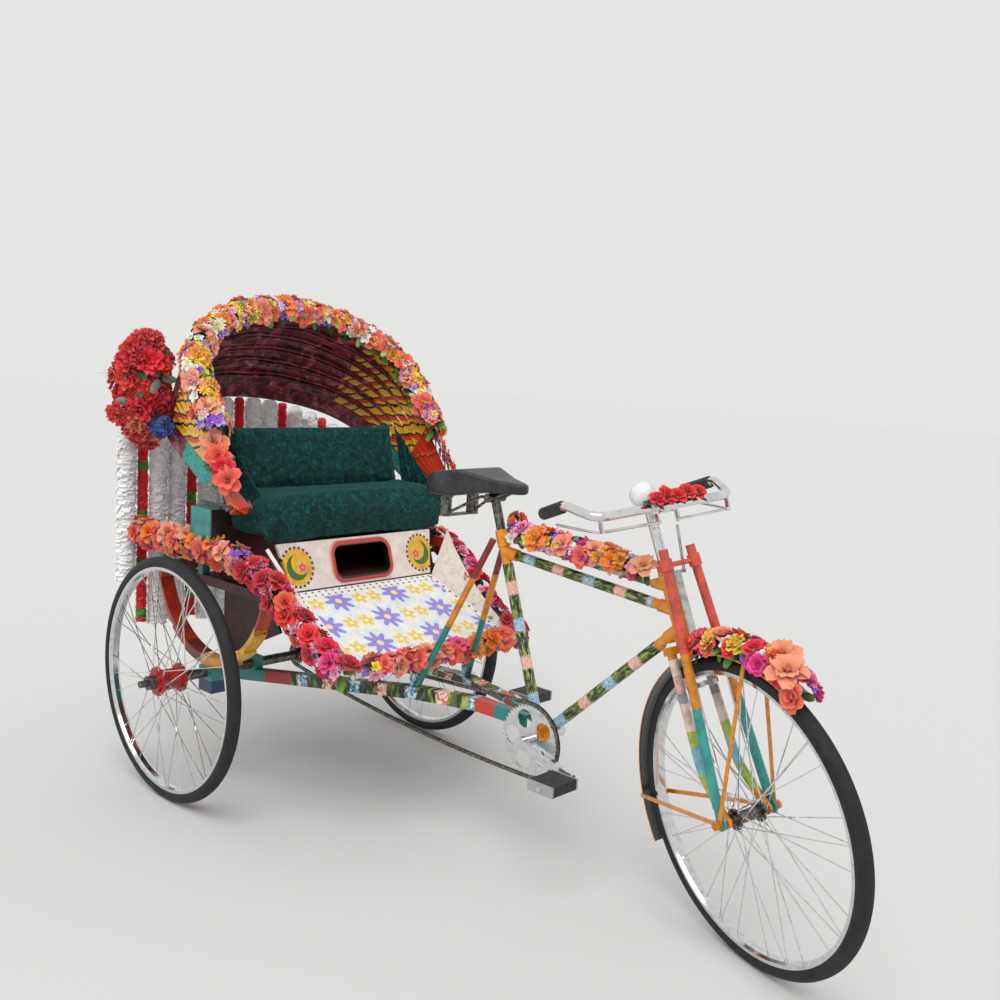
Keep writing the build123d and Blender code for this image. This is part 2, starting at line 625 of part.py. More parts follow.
# Front panel of the seat box, leaning back, with its hatch
panel_up = Vector(PANEL_TOP_X - FOOT_REAR_X, 0, PANEL_TOP_Z - FOOT_REAR_Z)
panel_plane = Plane(origin=(FOOT_REAR_X, 0, FOOT_REAR_Z), x_dir=(0, 1, 0), z_dir=Vector(0, 1, 0).cross(panel_up))
sheet = Polyline((-FOOT_REAR_HALF, 0), (FOOT_REAR_HALF, 0), (BOX_HALF, panel_up.length),
                 (-BOX_HALF, panel_up.length), close=True)
hatch = Pos(0, panel_up.length / 2 + 2) * RectangleRounded(HATCH_W, HATCH_H, 26)
frame_band = Pos(0, panel_up.length / 2 + 2) * RectangleRounded(HATCH_W + 28, HATCH_H + 28, 38)
panel = extrude(panel_plane * (make_face(sheet) - hatch), amount=-PANEL_T)
moulding = extrude(panel_plane * (frame_band - hatch), amount=6)
if panel.center().X > panel_plane.origin.X - 18:
    panel = extrude(panel_plane * (make_face(sheet) - hatch), amount=PANEL_T)
    moulding = extrude(panel_plane * (frame_band - hatch), amount=-6)
seat_panel = panel + moulding - footboard
parts["seat_panel"] = seat_panel

# Seat box behind it
DECK_TOP = DECK_LOW + DECK_T
box_side = (
    (BOX_REAR, DECK_TOP), (FOOT_REAR_X + 20, DECK_TOP), (PANEL_TOP_X + 20, BOX_TOP), (BOX_REAR, BOX_TOP))
inside = (
    (BOX_REAR + BOARD_T, DECK_TOP + BOARD_T), (FOOT_REAR_X + 40, DECK_TOP + BOARD_T),
    (PANEL_TOP_X + 40, BOX_TOP - BOARD_T), (BOX_REAR + BOARD_T, BOX_TOP - BOARD_T))
seat_box = slab(box_side, (-BOX_HALF, BOX_HALF)) - slab(inside, (BOARD_T - BOX_HALF, BOX_HALF - BOARD_T))
run = panel_up.normalized()
behind = -Vector(run.Z, 0, -run.X) * (PANEL_T + SEAT)
low = Vector(FOOT_REAR_X, 0, FOOT_REAR_Z) + behind - run * 40
high = low + run * 300
keep = slab(((BOX_REAR - 5, low.Z), (low.X, low.Z), (high.X, high.Z), (BOX_REAR - 5, high.Z)), (-400, 400))
seat_box = seat_box & keep
parts["seat_box"] = seat_box

# Side panels: flared boards whose upper edge sweeps down to the footboard's front corner
a = Vector(FOOT_REAR_X, FOOT_REAR_HALF + SEAT, FOOT_REAR_Z - 14)
b = Vector(FOOT_FRONT_X, FOOT_FRONT_HALF + SEAT, FOOT_FRONT_Z - 14)
c = Vector(SIDE_TOP_X, SIDE_TOP_HALF, SIDE_TOP_Z)
side_plane = Plane(origin=a, x_dir=b - a, z_dir=(b - a).cross(c - a))
la, lb, lc = (side_plane.to_local_coords(p) for p in (a, b, c))
outline = [Line((0, 0), (lb.X, lb.Y)), Line((lb.X, lb.Y), (lb.X, lb.Y + 20)),
           ThreePointArc((lb.X, lb.Y + 20), (lb.X * 0.42, lc.Y * 0.42), (lc.X, lc.Y)),
           Line((lc.X, lc.Y), (0, 0))]
side = extrude(side_plane * make_face(Curve() + outline), amount=-SIDE_T)
if side.center().Y < (a.Y + b.Y + c.Y) / 3 - 6:
    side = extrude(side_plane * make_face(Curve() + outline), amount=SIDE_T)
parts["side_panels"] = both_sides(side - footboard - seat_panel)

# Triangular boards that hang below the deck
valance = (
    (185, DECK_LOW), (247, DECK_LOW - 100), (13, DECK_LOW - 207), (-40, DECK_LOW - 142), (-40, DECK_LOW))
parts["valance_boards"] = both_sides(slab(valance, (BOX_HALF - 10, BOX_HALF - 2)))

# Cushion, with an apron over the seat box's front edge
def back_x(z):
    """Front of the backrest at a height."""
    return BACK_BOTTOM_X - (z - CUSHION_TOP) * tan(radians(BACK_LEAN))


cushion_side = (
    (back_x(BOX_TOP) - 20, BOX_TOP + SEAT), (PANEL_TOP_X - 6, BOX_TOP + SEAT),
    (PANEL_TOP_X + 1, PANEL_TOP_Z + 1), (CUSHION_FRONT - 3, PANEL_TOP_Z + 1),
    (CUSHION_FRONT, CUSHION_TOP - 34), (CUSHION_FRONT - 12, CUSHION_TOP - 10),
    (CUSHION_FRONT - 40, CUSHION_TOP), (back_x(CUSHION_TOP) - 10, CUSHION_TOP + 6),
    (back_x(CUSHION_TOP) - 24, CUSHION_TOP + 6))
cushion = slab(cushion_side, (-CUSHION_HALF, CUSHION_HALF))
low_z = CUSHION_TOP + 6 + SEAT
back_outline = (
    (back_x(low_z), low_z), (back_x(BACK_TOP_Z), BACK_TOP_Z),
    (back_x(BACK_TOP_Z - 16) - BACK_T, BACK_TOP_Z - 16), (back_x(low_z) - BACK_T, low_z))
backrest = slab(back_outline, (-BACK_HALF, BACK_HALF))
BACK_BOARD_TOP = BACK_TOP_Z - 30
off = BACK_T + SEAT
board_outline = (
    (back_x(BOX_TOP) - off, BOX_TOP), (back_x(BACK_BOARD_TOP) - off, BACK_BOARD_TOP),
    (back_x(BACK_BOARD_TOP) - off - BOARD_T, BACK_BOARD_TOP), (back_x(BOX_TOP) - off - BOARD_T, BOX_TOP))
parts["cushion"] = cushion
parts["backrest"] = backrest
parts["back_board"] = slab(board_outline, (-BACK_HALF + 6, BACK_HALF - 6))

# Railings at both sides, on posts from the deck
railing = block((RAILING_REAR, DECK_FRONT - 5), (RAILING_IN, RAILING_OUT), (RAILING_LOW, RAILING_LOW + RAILING_T))
for x in (DECK_REAR + 15, BOX_REAR, DECK_FRONT - 20):
    railing += block((x - 12, x + 12), (RAILING_IN, RAILING_OUT), (DECK_TOP, RAILING_LOW))
parts["side_railings"] = both_sides(railing) - parts["side_panels"]
arm = block((ARM_REAR, ARM_FRONT), (RAILING_IN + 5, ARM_OUT), (RAILING_LOW + RAILING_T, ARM_TOP))
parts["armrests"] = both_sides(arm)

# Hood pivots: a strap on each armrest with a bolt through all the ribs
rib_out = RIB_INNER_HALF + (RIBS - 1) * (RIB_T + RIB_GAP)
strap_in, strap_out = RIB_INNER_HALF - RIB_T - RIB_GAP - 8, RIB_INNER_HALF - RIB_T - RIB_GAP
strap = slab(((ARM_REAR, ARM_TOP), (PIVOT_X - 20, ARM_TOP), (PIVOT_X + 6, PIVOT_Z - 18), (PIVOT_X + 18, PIVOT_Z),
              (PIVOT_X, PIVOT_Z + 18), (PIVOT_X - 30, PIVOT_Z), (ARM_REAR + 40, ARM_TOP + 12), (ARM_REAR, ARM_TOP + 12)),
             (strap_in, strap_out))
bolt = rod((PIVOT_X, strap_in, PIVOT_Z), (PIVOT_X, rib_out + 14, PIVOT_Z), PIVOT_R)
bolt += rod((PIVOT_X, rib_out + 6, PIVOT_Z), (PIVOT_X, rib_out + 14, PIVOT_Z), 9)
parts["hood_pivots"] = both_sides(strap + bolt)

# Hood ribs: bent slats, each one just outside the one behind it
def hoop_face(half, top, foot):
    """Outline of a hoop, drawn across the vehicle with its pivots at height zero."""
    swing = acos(-(half - RIB_CORNER_R) / (RIB_CROWN_R - RIB_CORNER_R))
    crown_y = top - RIB_CROWN_R
    corner_y = crown_y + (RIB_CROWN_R - RIB_CORNER_R) * sin(swing)
    cx = RIB_CORNER_R - half
    tx = cx + RIB_CORNER_R * cos(swing)
    ty = corner_y + RIB_CORNER_R * sin(swing)
    m = (pi + swing) / 2
    mx, my = cx + RIB_CORNER_R * cos(m), corner_y + RIB_CORNER_R * sin(m)
    edges = [
        Line((-half, foot), (-half, corner_y)),
        ThreePointArc((-half, corner_y), (mx, my), (tx, ty)),
        ThreePointArc((tx, ty), (0, top), (-tx, ty)),
        ThreePointArc((-tx, ty), (-mx, my), (half, corner_y)),
        Line((half, corner_y), (half, foot)),
        Line((half, foot), (-half, foot)),
    ]
    return make_face(Curve() + edges)


def in_hood(angle):
    """Plane of a hoop that stands at an angle above the level behind the pivots."""
    t = radians(angle)
    return Plane(origin=(PIVOT_X, 0, PIVOT_Z), x_dir=(0, 1, 0), z_dir=(sin(t), 0, cos(t)))


def hoop(half, top, thick, wide, foot):
    band = hoop_face(half, top, foot) - hoop_face(half - thick, top - thick, foot - 1)
    return extrude(band, amount=wide / 2, both=True)


# Nearer the pivots than this the ribs leave no room for a pleat between them
PLEAT_FOOT = (RIB_W + PLEAT_W + PLEAT_ROOM) / (2 * sin(radians(RIB_STEP / 2)))
for n in range(RIBS):
    half = RIB_INNER_HALF + n * (RIB_T + RIB_GAP)
    rib = hoop(half, RIB_HEIGHT, RIB_T, RIB_W, -14)
    rib -= Rot(0, 90, 0) * Cylinder(PIVOT_R + FIT, 3 * half)
    place = in_hood(RIB_REAR_ANGLE + n * RIB_STEP)
    parts["hood_rib_%d" % n] = place * rib
    if n:
        # the folded cover's soft pleat, just behind its rib
        pleat = hoop(half - 1, RIB_HEIGHT, PLEAT_T, PLEAT_W, 200)
        pleat = pleat & Pos(0, PLEAT_FOOT + RIB_HEIGHT, 0) * Box(3 * half, 2 * RIB_HEIGHT, 2 * PLEAT_W)
        parts["hood_pleat_%d" % n] = place * Pos(0, 0, -(RIB_W + PLEAT_W) / 2 - SEAT) * pleat

# Rear of the hood's cover, and the strands that hang from it
cover = hoop(RIB_INNER_HALF, RIB_HEIGHT + 8, 6, COVER_W, 190)
parts["rear_cover"] = in_hood(RIB_REAR_ANGLE) * Pos(0, 0, -RIB_W / 2 - COVER_W / 2 - SEAT) * cover

# Flowers tied along the front rib, on the side that faces forward
front_half = RIB_INNER_HALF + (RIBS - 1) * (RIB_T + RIB_GAP)
bulge = hoop(front_half + HOOD_GARLAND_OUT, RIB_HEIGHT + HOOD_GARLAND_OUT, HOOD_GARLAND_T, HOOD_GARLAND_W,
             HOOD_GARLAND_FOOT)
ahead = Pos(0, 0, (RIB_W + HOOD_GARLAND_W) / 2 + SEAT)
parts["hood_garland"] = in_hood(RIB_REAR_ANGLE + (RIBS - 1) * RIB_STEP) * ahead * bulge

# Bouquet against the near shoulder of the fixed rib, cut back where the other ribs lie
bunch_at = in_hood(RIB_REAR_ANGLE).from_local_coords((-RIB_INNER_HALF - 30, RIB_HEIGHT - 82, -6))
bunch_end = Vector(0, 0, BOUQUET_HALF - BOUQUET_R)
bunch = rod(bunch_at - bunch_end, bunch_at + bunch_end, BOUQUET_R)
for end in (bunch_at - bunch_end, bunch_at + bunch_end):
    bunch += Pos(*end) * Sphere(BOUQUET_R)
under_cover = hoop_face(RIB_INNER_HALF + SEAT, RIB_HEIGHT + 8 + SEAT, 0)
bunch -= in_hood(RIB_REAR_ANGLE) * extrude(under_cover, amount=RIB_W / 2 + COVER_W + 5, both=True)
for n in range(1, RIBS):
    half = RIB_INNER_HALF + n * (RIB_T + RIB_GAP)
    room = extrude(hoop_face(half + CLEAR, RIB_HEIGHT + CLEAR, 0), amount=RIB_W / 2 + CLEAR, both=True)
    bunch -= in_hood(RIB_REAR_ANGLE + n * RIB_STEP) * room
parts["bouquet"] = bunch

# Cloth at both ends of the backrest
cloth = ((back_x(BACK_TOP_Z - 6), BACK_TOP_Z - 6), (back_x(CUSHION_TOP + 7), CUSHION_TOP + 7),
         (PIVOT_X, CUSHION_TOP + 7), (PIVOT_X - 60, CUSHION_TOP + 60))
parts["side_cloths"] = both_sides(slab(cloth, (BACK_HALF + SEAT, BACK_HALF + SEAT + 8)))

# Flowers along the railings, down the side panels and across the footboard's front
side_run = [
    (RAILING_REAR + 10, RAILING_OUT + 33, RAILING_LOW + 17), (200, RAILING_OUT + 33, RAILING_LOW + 11),
    (330, SIDE_TOP_HALF + 34, foot_top(330) + 55), (430, FOOT_FRONT_HALF + 44, foot_top(430) + 3),
    (FOOT_FRONT_X - 10, FOOT_FRONT_HALF + 40, FOOT_FRONT_Z - 10)]
flowers = bent_rod(side_run, SIDE_GARLAND_R, 60)
board_ahead = Vector(1, 0, -foot_rise).normalized()
across_at = Vector(FOOT_FRONT_X, 0, FOOT_FRONT_Z) + board_ahead * (ACROSS_R + SEAT)
across = rod(across_at - Vector(0, 250, 0), across_at + Vector(0, 250, 0), ACROSS_R)
boards = footboard + parts["side_panels"] + parts["side_railings"] + parts["armrests"]
boards = boards + parts["deck_frame"] + parts["chassis_rails"] + parts["seat_stays"]
parts["body_garlands"] = (both_sides(flowers) + across) - boards

# Flowers along the upper top tube and under the saddle's nose
tube_low, tube_high = joints[0][0], joints[0][1]
along = (tube_high - tube_low).normalized()
over_tube = Vector(0, 0, 12)
garland = rod(tube_low + along * 50 + over_tube, tube_high - along * 70 + over_tube, TUBE_GARLAND_R)
garland += Pos(SADDLE_NOSE_X - 28, 0, SADDLE_LOW_Z - 52) * Sphere(40)
parts["frame_garland"] = garland - bike_frame - parts["saddle_post"] - seat_core

made = Part()
y = -(10 * WHITE_W + 5 * RED_W + 14 * STRAND_GAP) / 2
for width in (WHITE_W, RED_W) + (WHITE_W, WHITE_W, RED_W) * 4 + (WHITE_W,):
    low = CURTAIN_LOW if abs(y + width / 2) < 380 else CURTAIN_LOW + 145
    top = CURTAIN_TOP - CURTAIN_DROP * ((y + width / 2) / 440) ** 2
    made += block((CURTAIN_X - CURTAIN_T / 2, CURTAIN_X + CURTAIN_T / 2), (y, y + width), (low, top))
    y += width + STRAND_GAP
parts["rear_curtain"] = made - parts["rear_cover"]

# Steering assembly, drawn upright: x is forward of the steering axis, z is up along it from level
# with the wheel's centre
HEAD_GAP = 1.0
blade_points = [(62.0, BLADE_HALF_LOW, 0), (8.0, 51.0, 110), (0, BLADE_HALF_TOP, HEAD_LOW - 14)]
fork = rod((0, 0, HEAD_LOW - 26), (0, 0, HEAD_TOP + 20), STEERER_R)
fork += block((-15, 15), (-BLADE_HALF_TOP - 12, BLADE_HALF_TOP + 12), (HEAD_LOW - 26, HEAD_LOW - 8))
fork += rod((0, 0, HEAD_LOW - 12), (0, 0, HEAD_LOW - HEAD_GAP), HEAD_R + 2)
fork += rod((0, 0, HEAD_TOP + HEAD_GAP), (0, 0, HEAD_TOP + 9), HEAD_R + 2)
for side in (-1, 1):
    points = [(x, side * y, z) for x, y, z in blade_points]
    fork += bent_rod(points, BLADE_R, 150)
    fork += rod((RAKE, side * (BLADE_HALF_LOW - 4), 0), (RAKE, side * (BLADE_HALF_LOW + 4), 0), 14)
    fork += rod((RAKE, side * (BLADE_HALF_LOW + 4), 0), (RAKE, side * FRONT_AXLE_HALF, 0), FRONT_AXLE_R)
    nut_in = side * (FRONT_AXLE_HALF - 12)
    fork += rod((RAKE, nut_in, 0), (RAKE, side * (FRONT_AXLE_HALF - 4), 0), 10)
fork += rod((RAKE, -BLADE_HALF_LOW, 0), (RAKE, BLADE_HALF_LOW, 0), FRONT_AXLE_R)

STAY_TOP = 609.0
STAY_EYE_Y = BLADE_HALF_LOW + BLADE_R + 4
GUARD_EYE_Y = STAY_EYE_Y + 6
STAY_TOP_HALF = 38.0
stays = []
for side in (-1, 1):
    top = Vector(RAKE + 2, side * STAY_TOP_HALF, STAY_TOP)
    foot = Vector(RAKE, side * STAY_EYE_Y, 0)
    lie = (top - foot).normalized()
    stays.append(rod(foot + lie * 34, top, 11))
    stays.append(flat_bar(foot, foot + lie * 40, 22, 6, (0, 1, 0)))
    stays.append(rod(top - lie * 50, top - lie * 22, 15))
    stays.append(rod((RAKE, side * (STAY_EYE_Y - 3), 0), (RAKE, side * (STAY_EYE_Y + 3), 0), 15))
clamp_z = STAY_TOP - 36
stays.append(rod((RAKE + 2, -STAY_TOP_HALF, clamp_z), (RAKE + 2, STAY_TOP_HALF, clamp_z), 6))
stays.append(flat_bar((0, 0, clamp_z), (RAKE + 2, 0, clamp_z), 22, 8, (0, 0, 1)))
stays.append(rod((0, 0, HEAD_TOP + 10), (0, 0, HEAD_TOP + 24), STEERER_R + 5))
fork_stays = Part() + stays - rod((0, 0, HEAD_LOW), (0, 0, HEAD_TOP + 60), STEERER_R)
fork_stays -= rod((RAKE, -100, 0), (RAKE, 100, 0), FRONT_AXLE_R)

# Stem and handlebar
BAR_R = 11.0
BAR_X, BAR_Z = 62.0, 708.0
BAR_STRAIGHT = 155.0     # half of the straight run in its middle
BAR_END, BAR_ELBOW, BAR_CORNER = (-115, 212, 764), (-8, 214, 757), (BAR_X, 190, BAR_Z)
bar = rod((BAR_X, -BAR_STRAIGHT, BAR_Z), (BAR_X, BAR_STRAIGHT, BAR_Z), BAR_R)
for side in (-1, 1):
    bends = [(x, side * y, z) for x, y, z in ((BAR_X, BAR_STRAIGHT, BAR_Z), BAR_CORNER, BAR_ELBOW, BAR_END)]
    bar += bent_rod(bends, BAR_R, 38)
stem = rod((0, 0, HEAD_TOP + 24), (0, 0, BAR_Z), STEERER_R - 1)
stem += rod((0, 0, BAR_Z), (BAR_X, 0, BAR_Z), STEERER_R - 1) + rod((BAR_X, -22, BAR_Z), (BAR_X, 22, BAR_Z), BAR_R + 5)
handlebar = bar + stem
grips = Part()
for side in (-1, 1):
    a, b = (Vector(x, side * y, z) for x, y, z in (BAR_END, BAR_ELBOW))
    lie = (b - a).normalized()
    grips += rod(a - lie * 4, a + lie * 88, 15)
grips -= handlebar

# Bell and brake
bell_at = Vector(44, -40, 744)
facing = Vector(1, -0.45, 0.25).normalized()
bell = Plane(origin=bell_at, z_dir=facing) * (Sphere(31) & Pos(0, 0, 31) * Box(80, 80, 62))
bell += Plane(origin=bell_at - facing * 6, z_dir=facing) * Cylinder(26, 6, align=RISING)
bell += rod(bell_at - facing * 3 - Vector(0, 0, 24), (BAR_X, -36, BAR_Z), 5) + rod((BAR_X, -30, BAR_Z), (BAR_X, -42, BAR_Z), BAR_R + 4)
bell -= handlebar

lever = Part()
for side in (-1, 1):
    lever += bent_rod([(-100, side * 196, 730), (50, side * 186, 676), (66, side * 24, 672)], 3.5, 20)
    lever += flat_bar((BAR_X, side * 28, 668), (BAR_X, side * 28, BAR_Z), 12, 5, (0, 1, 0))
    lever += flat_bar((56, side * 180, 672), (62, side * 180, BAR_Z), 12, 5, (0, 1, 0))
lever -= handlebar
lever -= bell

BRAKE_X = 42.0
PAD_R = RIM_SEAT_R - RIM_DEPTH - 10
PULL_Y = 20.0
CROWN_Z = HEAD_LOW - 18
stirrup = flat_bar((BRAKE_X, 0, CROWN_Z), (BRAKE_X, 0, HEAD_TOP + 4), 18, 4, (1, 0, 0))
stirrup += block((BRAKE_X - 2, BRAKE_X + 2), (-9, PULL_Y + 4), (HEAD_TOP - 4, HEAD_TOP + 4))
stirrup += rod((BRAKE_X, PULL_Y, HEAD_TOP), (BAR_X, PULL_Y, 660), 3.5)
stirrup += block((15, BRAKE_X + 2), (-6, 6), (CROWN_Z - 4, CROWN_Z + 5))
leg_x, leg_y = 30.0, 36.0
stirrup += bent_rod([(leg_x, -leg_y, PAD_R), (leg_x, -leg_y, CROWN_Z), (leg_x, leg_y, CROWN_Z),
                     (leg_x, leg_y, PAD_R)], 3, 10)
for side in (-1, 1):
    stirrup += block((leg_x - 20, leg_x + 20), tuple(sorted((side * 12, side * 24))), (PAD_R - 12, PAD_R - 1))
    stirrup += block((leg_x - 4, leg_x + 4), tuple(sorted((side * 20, side * (leg_y + 4)))), (PAD_R - 10, PAD_R + 2))
parts_local = {
    "fork": fork,
    "fork_stays": fork_stays - fork,
    "handlebar": handlebar,
    "grips": grips,
    "bell": bell,
    "brake_levers": lever,
    "stirrup_brake": stirrup,
}
wheel_at = Pos(RAKE, 0, 0)
hub = front_hub()
parts_local["front_hub"] = wheel_at * hub
parts_local["front_rim"] = wheel_at * wire_rim(FRONT_FLANGE_R - 4, FRONT_FLANGE_HALF, hub)
parts_local["front_tyre"] = wheel_at * plain_tyre

# Front mudguard: a rolled steel strip on two pairs of flat stays from the axle
guard_in = GUARD_R - GUARD_T
edge_in = guard_in - GUARD_DROP
edge_out = edge_in + GUARD_T
guard_section = [
    ThreePointArc((edge_in, -GUARD_HALF, 0), (guard_in, 0, 0), (edge_in, GUARD_HALF, 0)),
    Line((edge_in, GUARD_HALF, 0), (edge_out, GUARD_HALF, 0)),
    ThreePointArc((edge_out, GUARD_HALF, 0), (GUARD_R, 0, 0), (edge_out, -GUARD_HALF, 0)),
    Line((edge_out, -GUARD_HALF, 0), (edge_in, -GUARD_HALF, 0)),
]


def round_wheel(section, start, end):
    """Sweep a section, drawn as (r, y), round the wheel's centre from one angle to another."""
    return revolve(Rot(0, -start, 0) * make_face(Curve() + section), axis=Axis.Y, revolution_arc=start - end)


guard = round_wheel(guard_section, GUARD_FROM, GUARD_TO)
for angle in GUARD_STAYS_AT:
    t = radians(angle)
    for side in (-1, 1):
        end = (guard_in * cos(t), side * (GUARD_HALF - 1), (edge_in + 1) * sin(t))
        guard += flat_bar((0, side * GUARD_EYE_Y, 0), end, GUARD_STAY_W, GUARD_STAY_T, (0, 1, 0))
        eye = Vector(0, GUARD_STAY_T / 2, 0)
        guard += rod(Vector(0, side * GUARD_EYE_Y, 0) - eye, Vector(0, side * GUARD_EYE_Y, 0) + eye, 10)
parts_local["front_mudguard"] = (wheel_at * guard) - fork - fork_stays

# Flowers on the mudguard and on the handlebar
heap = [
    Line((GUARD_R + SEAT, -GUARD_GARLAND_HALF, 0), (GUARD_R + SEAT, GUARD_GARLAND_HALF, 0)),
    ThreePointArc((GUARD_R + SEAT, GUARD_GARLAND_HALF, 0), (GUARD_R + GUARD_GARLAND_T, 0, 0),
                  (GUARD_R + SEAT, -GUARD_GARLAND_HALF, 0)),
]
heap = round_wheel(heap, GUARD_GARLAND_FROM, GUARD_GARLAND_TO)
roses = rod((BAR_X, -50, BAR_Z + 6), (BAR_X, 96, BAR_Z + 6), 24)
metal = handlebar + bell + lever + stirrup
on_guard = wheel_at * heap - fork - fork_stays - stirrup - parts_local["front_mudguard"]
parts_local["front_garland"] = on_guard + (roses - metal)

for name, piece in parts_local.items():
    parts[name] = STEERING * piece

os.makedirs("parts", exist_ok=True)
for name, piece in parts.items():
    export_step(TO_CENTRE * piece, "parts/" + name + ".step")
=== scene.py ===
import json
import math
import bpy
import numpy as np
from mathutils import Matrix, Vector


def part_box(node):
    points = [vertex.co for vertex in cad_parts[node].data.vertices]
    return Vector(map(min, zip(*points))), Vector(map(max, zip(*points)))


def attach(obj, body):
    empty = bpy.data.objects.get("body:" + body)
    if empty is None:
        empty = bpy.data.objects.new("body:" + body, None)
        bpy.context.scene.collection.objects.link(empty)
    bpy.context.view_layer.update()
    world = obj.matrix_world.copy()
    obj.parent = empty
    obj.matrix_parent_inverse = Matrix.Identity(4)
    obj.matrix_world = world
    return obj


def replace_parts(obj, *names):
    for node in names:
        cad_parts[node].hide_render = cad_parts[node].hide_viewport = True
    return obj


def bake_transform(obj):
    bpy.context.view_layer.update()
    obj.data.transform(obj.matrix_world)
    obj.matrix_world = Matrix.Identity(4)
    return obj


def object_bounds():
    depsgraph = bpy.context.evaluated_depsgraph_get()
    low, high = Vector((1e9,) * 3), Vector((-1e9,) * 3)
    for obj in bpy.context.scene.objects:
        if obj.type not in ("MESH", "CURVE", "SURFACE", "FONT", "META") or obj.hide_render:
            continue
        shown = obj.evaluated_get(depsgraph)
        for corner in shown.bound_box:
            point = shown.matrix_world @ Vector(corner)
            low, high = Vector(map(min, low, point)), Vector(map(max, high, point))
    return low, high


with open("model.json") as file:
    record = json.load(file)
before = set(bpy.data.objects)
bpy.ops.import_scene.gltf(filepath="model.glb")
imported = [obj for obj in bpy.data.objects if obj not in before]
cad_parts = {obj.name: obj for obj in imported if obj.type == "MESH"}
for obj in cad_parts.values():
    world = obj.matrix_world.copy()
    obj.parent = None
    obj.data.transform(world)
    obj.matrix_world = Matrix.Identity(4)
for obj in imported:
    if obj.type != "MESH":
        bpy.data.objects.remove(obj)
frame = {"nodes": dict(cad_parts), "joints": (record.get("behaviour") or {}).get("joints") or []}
cad_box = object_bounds()

# Viewpoint, floor and light
# The camera stands where the photograph's did, ahead of the front wheel on the vehicle's right.
# The floor is a plain pale sheet and the light is that of a soft, overcast studio.
MM = 0.001
AXLE = Vector(next(j["pos_m"] for j in frame["joints"] if j["name"] == "rear_axle_spin"))


def at(x, y, z):
    """Millimetres, with x from the rear axle and z from the floor, as a point in the frame."""
    return Vector((AXLE.x + x * MM, y * MM, z * MM))


def linear(code):
    """An sRGB hex colour as linear light."""
    parts = [int(code[i:i + 2], 16) / 255 for i in (1, 3, 5)]
    return tuple(c / 12.92 if c <= 0.04045 else ((c + 0.055) / 1.055) ** 2.4 for c in parts) + (1.0,)


def add(tree, kind, inputs=(), out=0, stops=(), sharp=False, **settings):
    """Adds a node with its settings, constants and links, and gives the output that is wanted.

    A second word in kind is the node's operation.
    """
    kind, *operation = kind.split()
    node = tree.nodes.new("ShaderNode" + kind)
    if operation:
        node.operation = operation[0]
    for name, value in settings.items():
        setattr(node, name, value)
    if stops:
        ramp = node.color_ramp.elements
        while len(ramp) < len(stops):
            ramp.new(0.5)
        for element, (spot, code) in zip(ramp, stops):
            element.position = spot
            element.color = linear(code)
        if sharp:
            node.color_ramp.interpolation = "CONSTANT"
    for key, value in inputs.items() if isinstance(inputs, dict) else enumerate(inputs):
        if isinstance(value, bpy.types.NodeSocket):
            tree.links.new(value, node.inputs[key])
        else:
            node.inputs[key].default_value = linear(value) if isinstance(value, str) else value
    return node.outputs[out]


def finish_named(name, colour, roughness, **sockets):
    """A new material whose constants sit on the shader's own sockets."""
    made = bpy.data.materials.new(name)
    made.use_nodes = True
    shader = made.node_tree.nodes["Principled BSDF"]
    shader.inputs["Base Color"].default_value = linear(colour)
    shader.inputs["Roughness"].default_value = roughness
    for key, value in sockets.items():
        shader.inputs[key.replace("_", " ")].default_value = value
    return made, made.node_tree, shader


def wire(shader, **sources):
    """Links what varies over a surface to the shader's sockets."""
    for key, value in sources.items():
        shader.id_data.links.new(value, shader.inputs[key.replace("_", " ")])


CAMERA_AT = (2731.7, -2091.3, 1309.8)
CAMERA_AZIMUTH, CAMERA_DROP, CAMERA_ROLL = 42.76, 7.22, 3.12
PHOTO_FOCAL, PHOTO_SIDE, SENSOR = 1083.1, 1000.0, 36.0

lens = bpy.data.cameras.new("camera")
lens.sensor_width = SENSOR
lens.lens = PHOTO_FOCAL / PHOTO_SIDE * SENSOR
camera = bpy.data.objects.new("camera", lens)
bpy.context.scene.collection.objects.link(camera)
az, drop, roll = (math.radians(v) for v in (CAMERA_AZIMUTH, CAMERA_DROP, CAMERA_ROLL))
back = Vector((math.sin(az) * math.cos(drop), -math.cos(az) * math.cos(drop), math.sin(drop)))
side = Vector((math.cos(az), math.sin(az), 0))
rise = back.cross(side)
right = side * math.cos(roll) + rise * math.sin(roll)
above = rise * math.cos(roll) - side * math.sin(roll)
camera.matrix_world = Matrix.Translation(at(*CAMERA_AT)) @ Matrix((right, above,
                                                                   back)).transposed().to_4x4()
bpy.context.scene.camera = camera
bpy.context.scene.view_settings.view_transform = "Standard"

FLOOR_HALF = 30.0
floor_mesh = bpy.data.meshes.new("floor")
floor_mesh.from_pydata([(x * FLOOR_HALF, y * FLOOR_HALF, 0) for x, y in ((-1, -1), (1, -1), (1, 1), (-1, 1))],
                       [], [(0, 1, 2, 3)])
floor = bpy.data.objects.new("floor", floor_mesh)
bpy.context.scene.collection.objects.link(floor)
# Matt paint, so pale and plain that only the shadow shows on it
floor_paint, tree, shader = finish_named("pale_floor", "#D9D9D7", 0.9)
floor_mesh.materials.append(floor_paint)

world = bpy.data.worlds.new("studio")
bpy.context.scene.world = world
world.use_nodes = True
tree = world.node_tree
path = tree.nodes.new("ShaderNodeLightPath")
seen = add(tree, "Math MAXIMUM", (path.outputs["Is Camera Ray"], path.outputs["Is Transmission Ray"]))
seen = add(tree, "Math MAXIMUM", (seen, path.outputs["Is Glossy Ray"]))
strength = add(tree, "MixRGB",
               {"Fac": seen, "Color1": (0.76, 0.76, 0.76, 1), "Color2": (0.787, 0.787, 0.772, 1)})
tree.links.new(strength, tree.nodes["Background"].inputs["Color"])

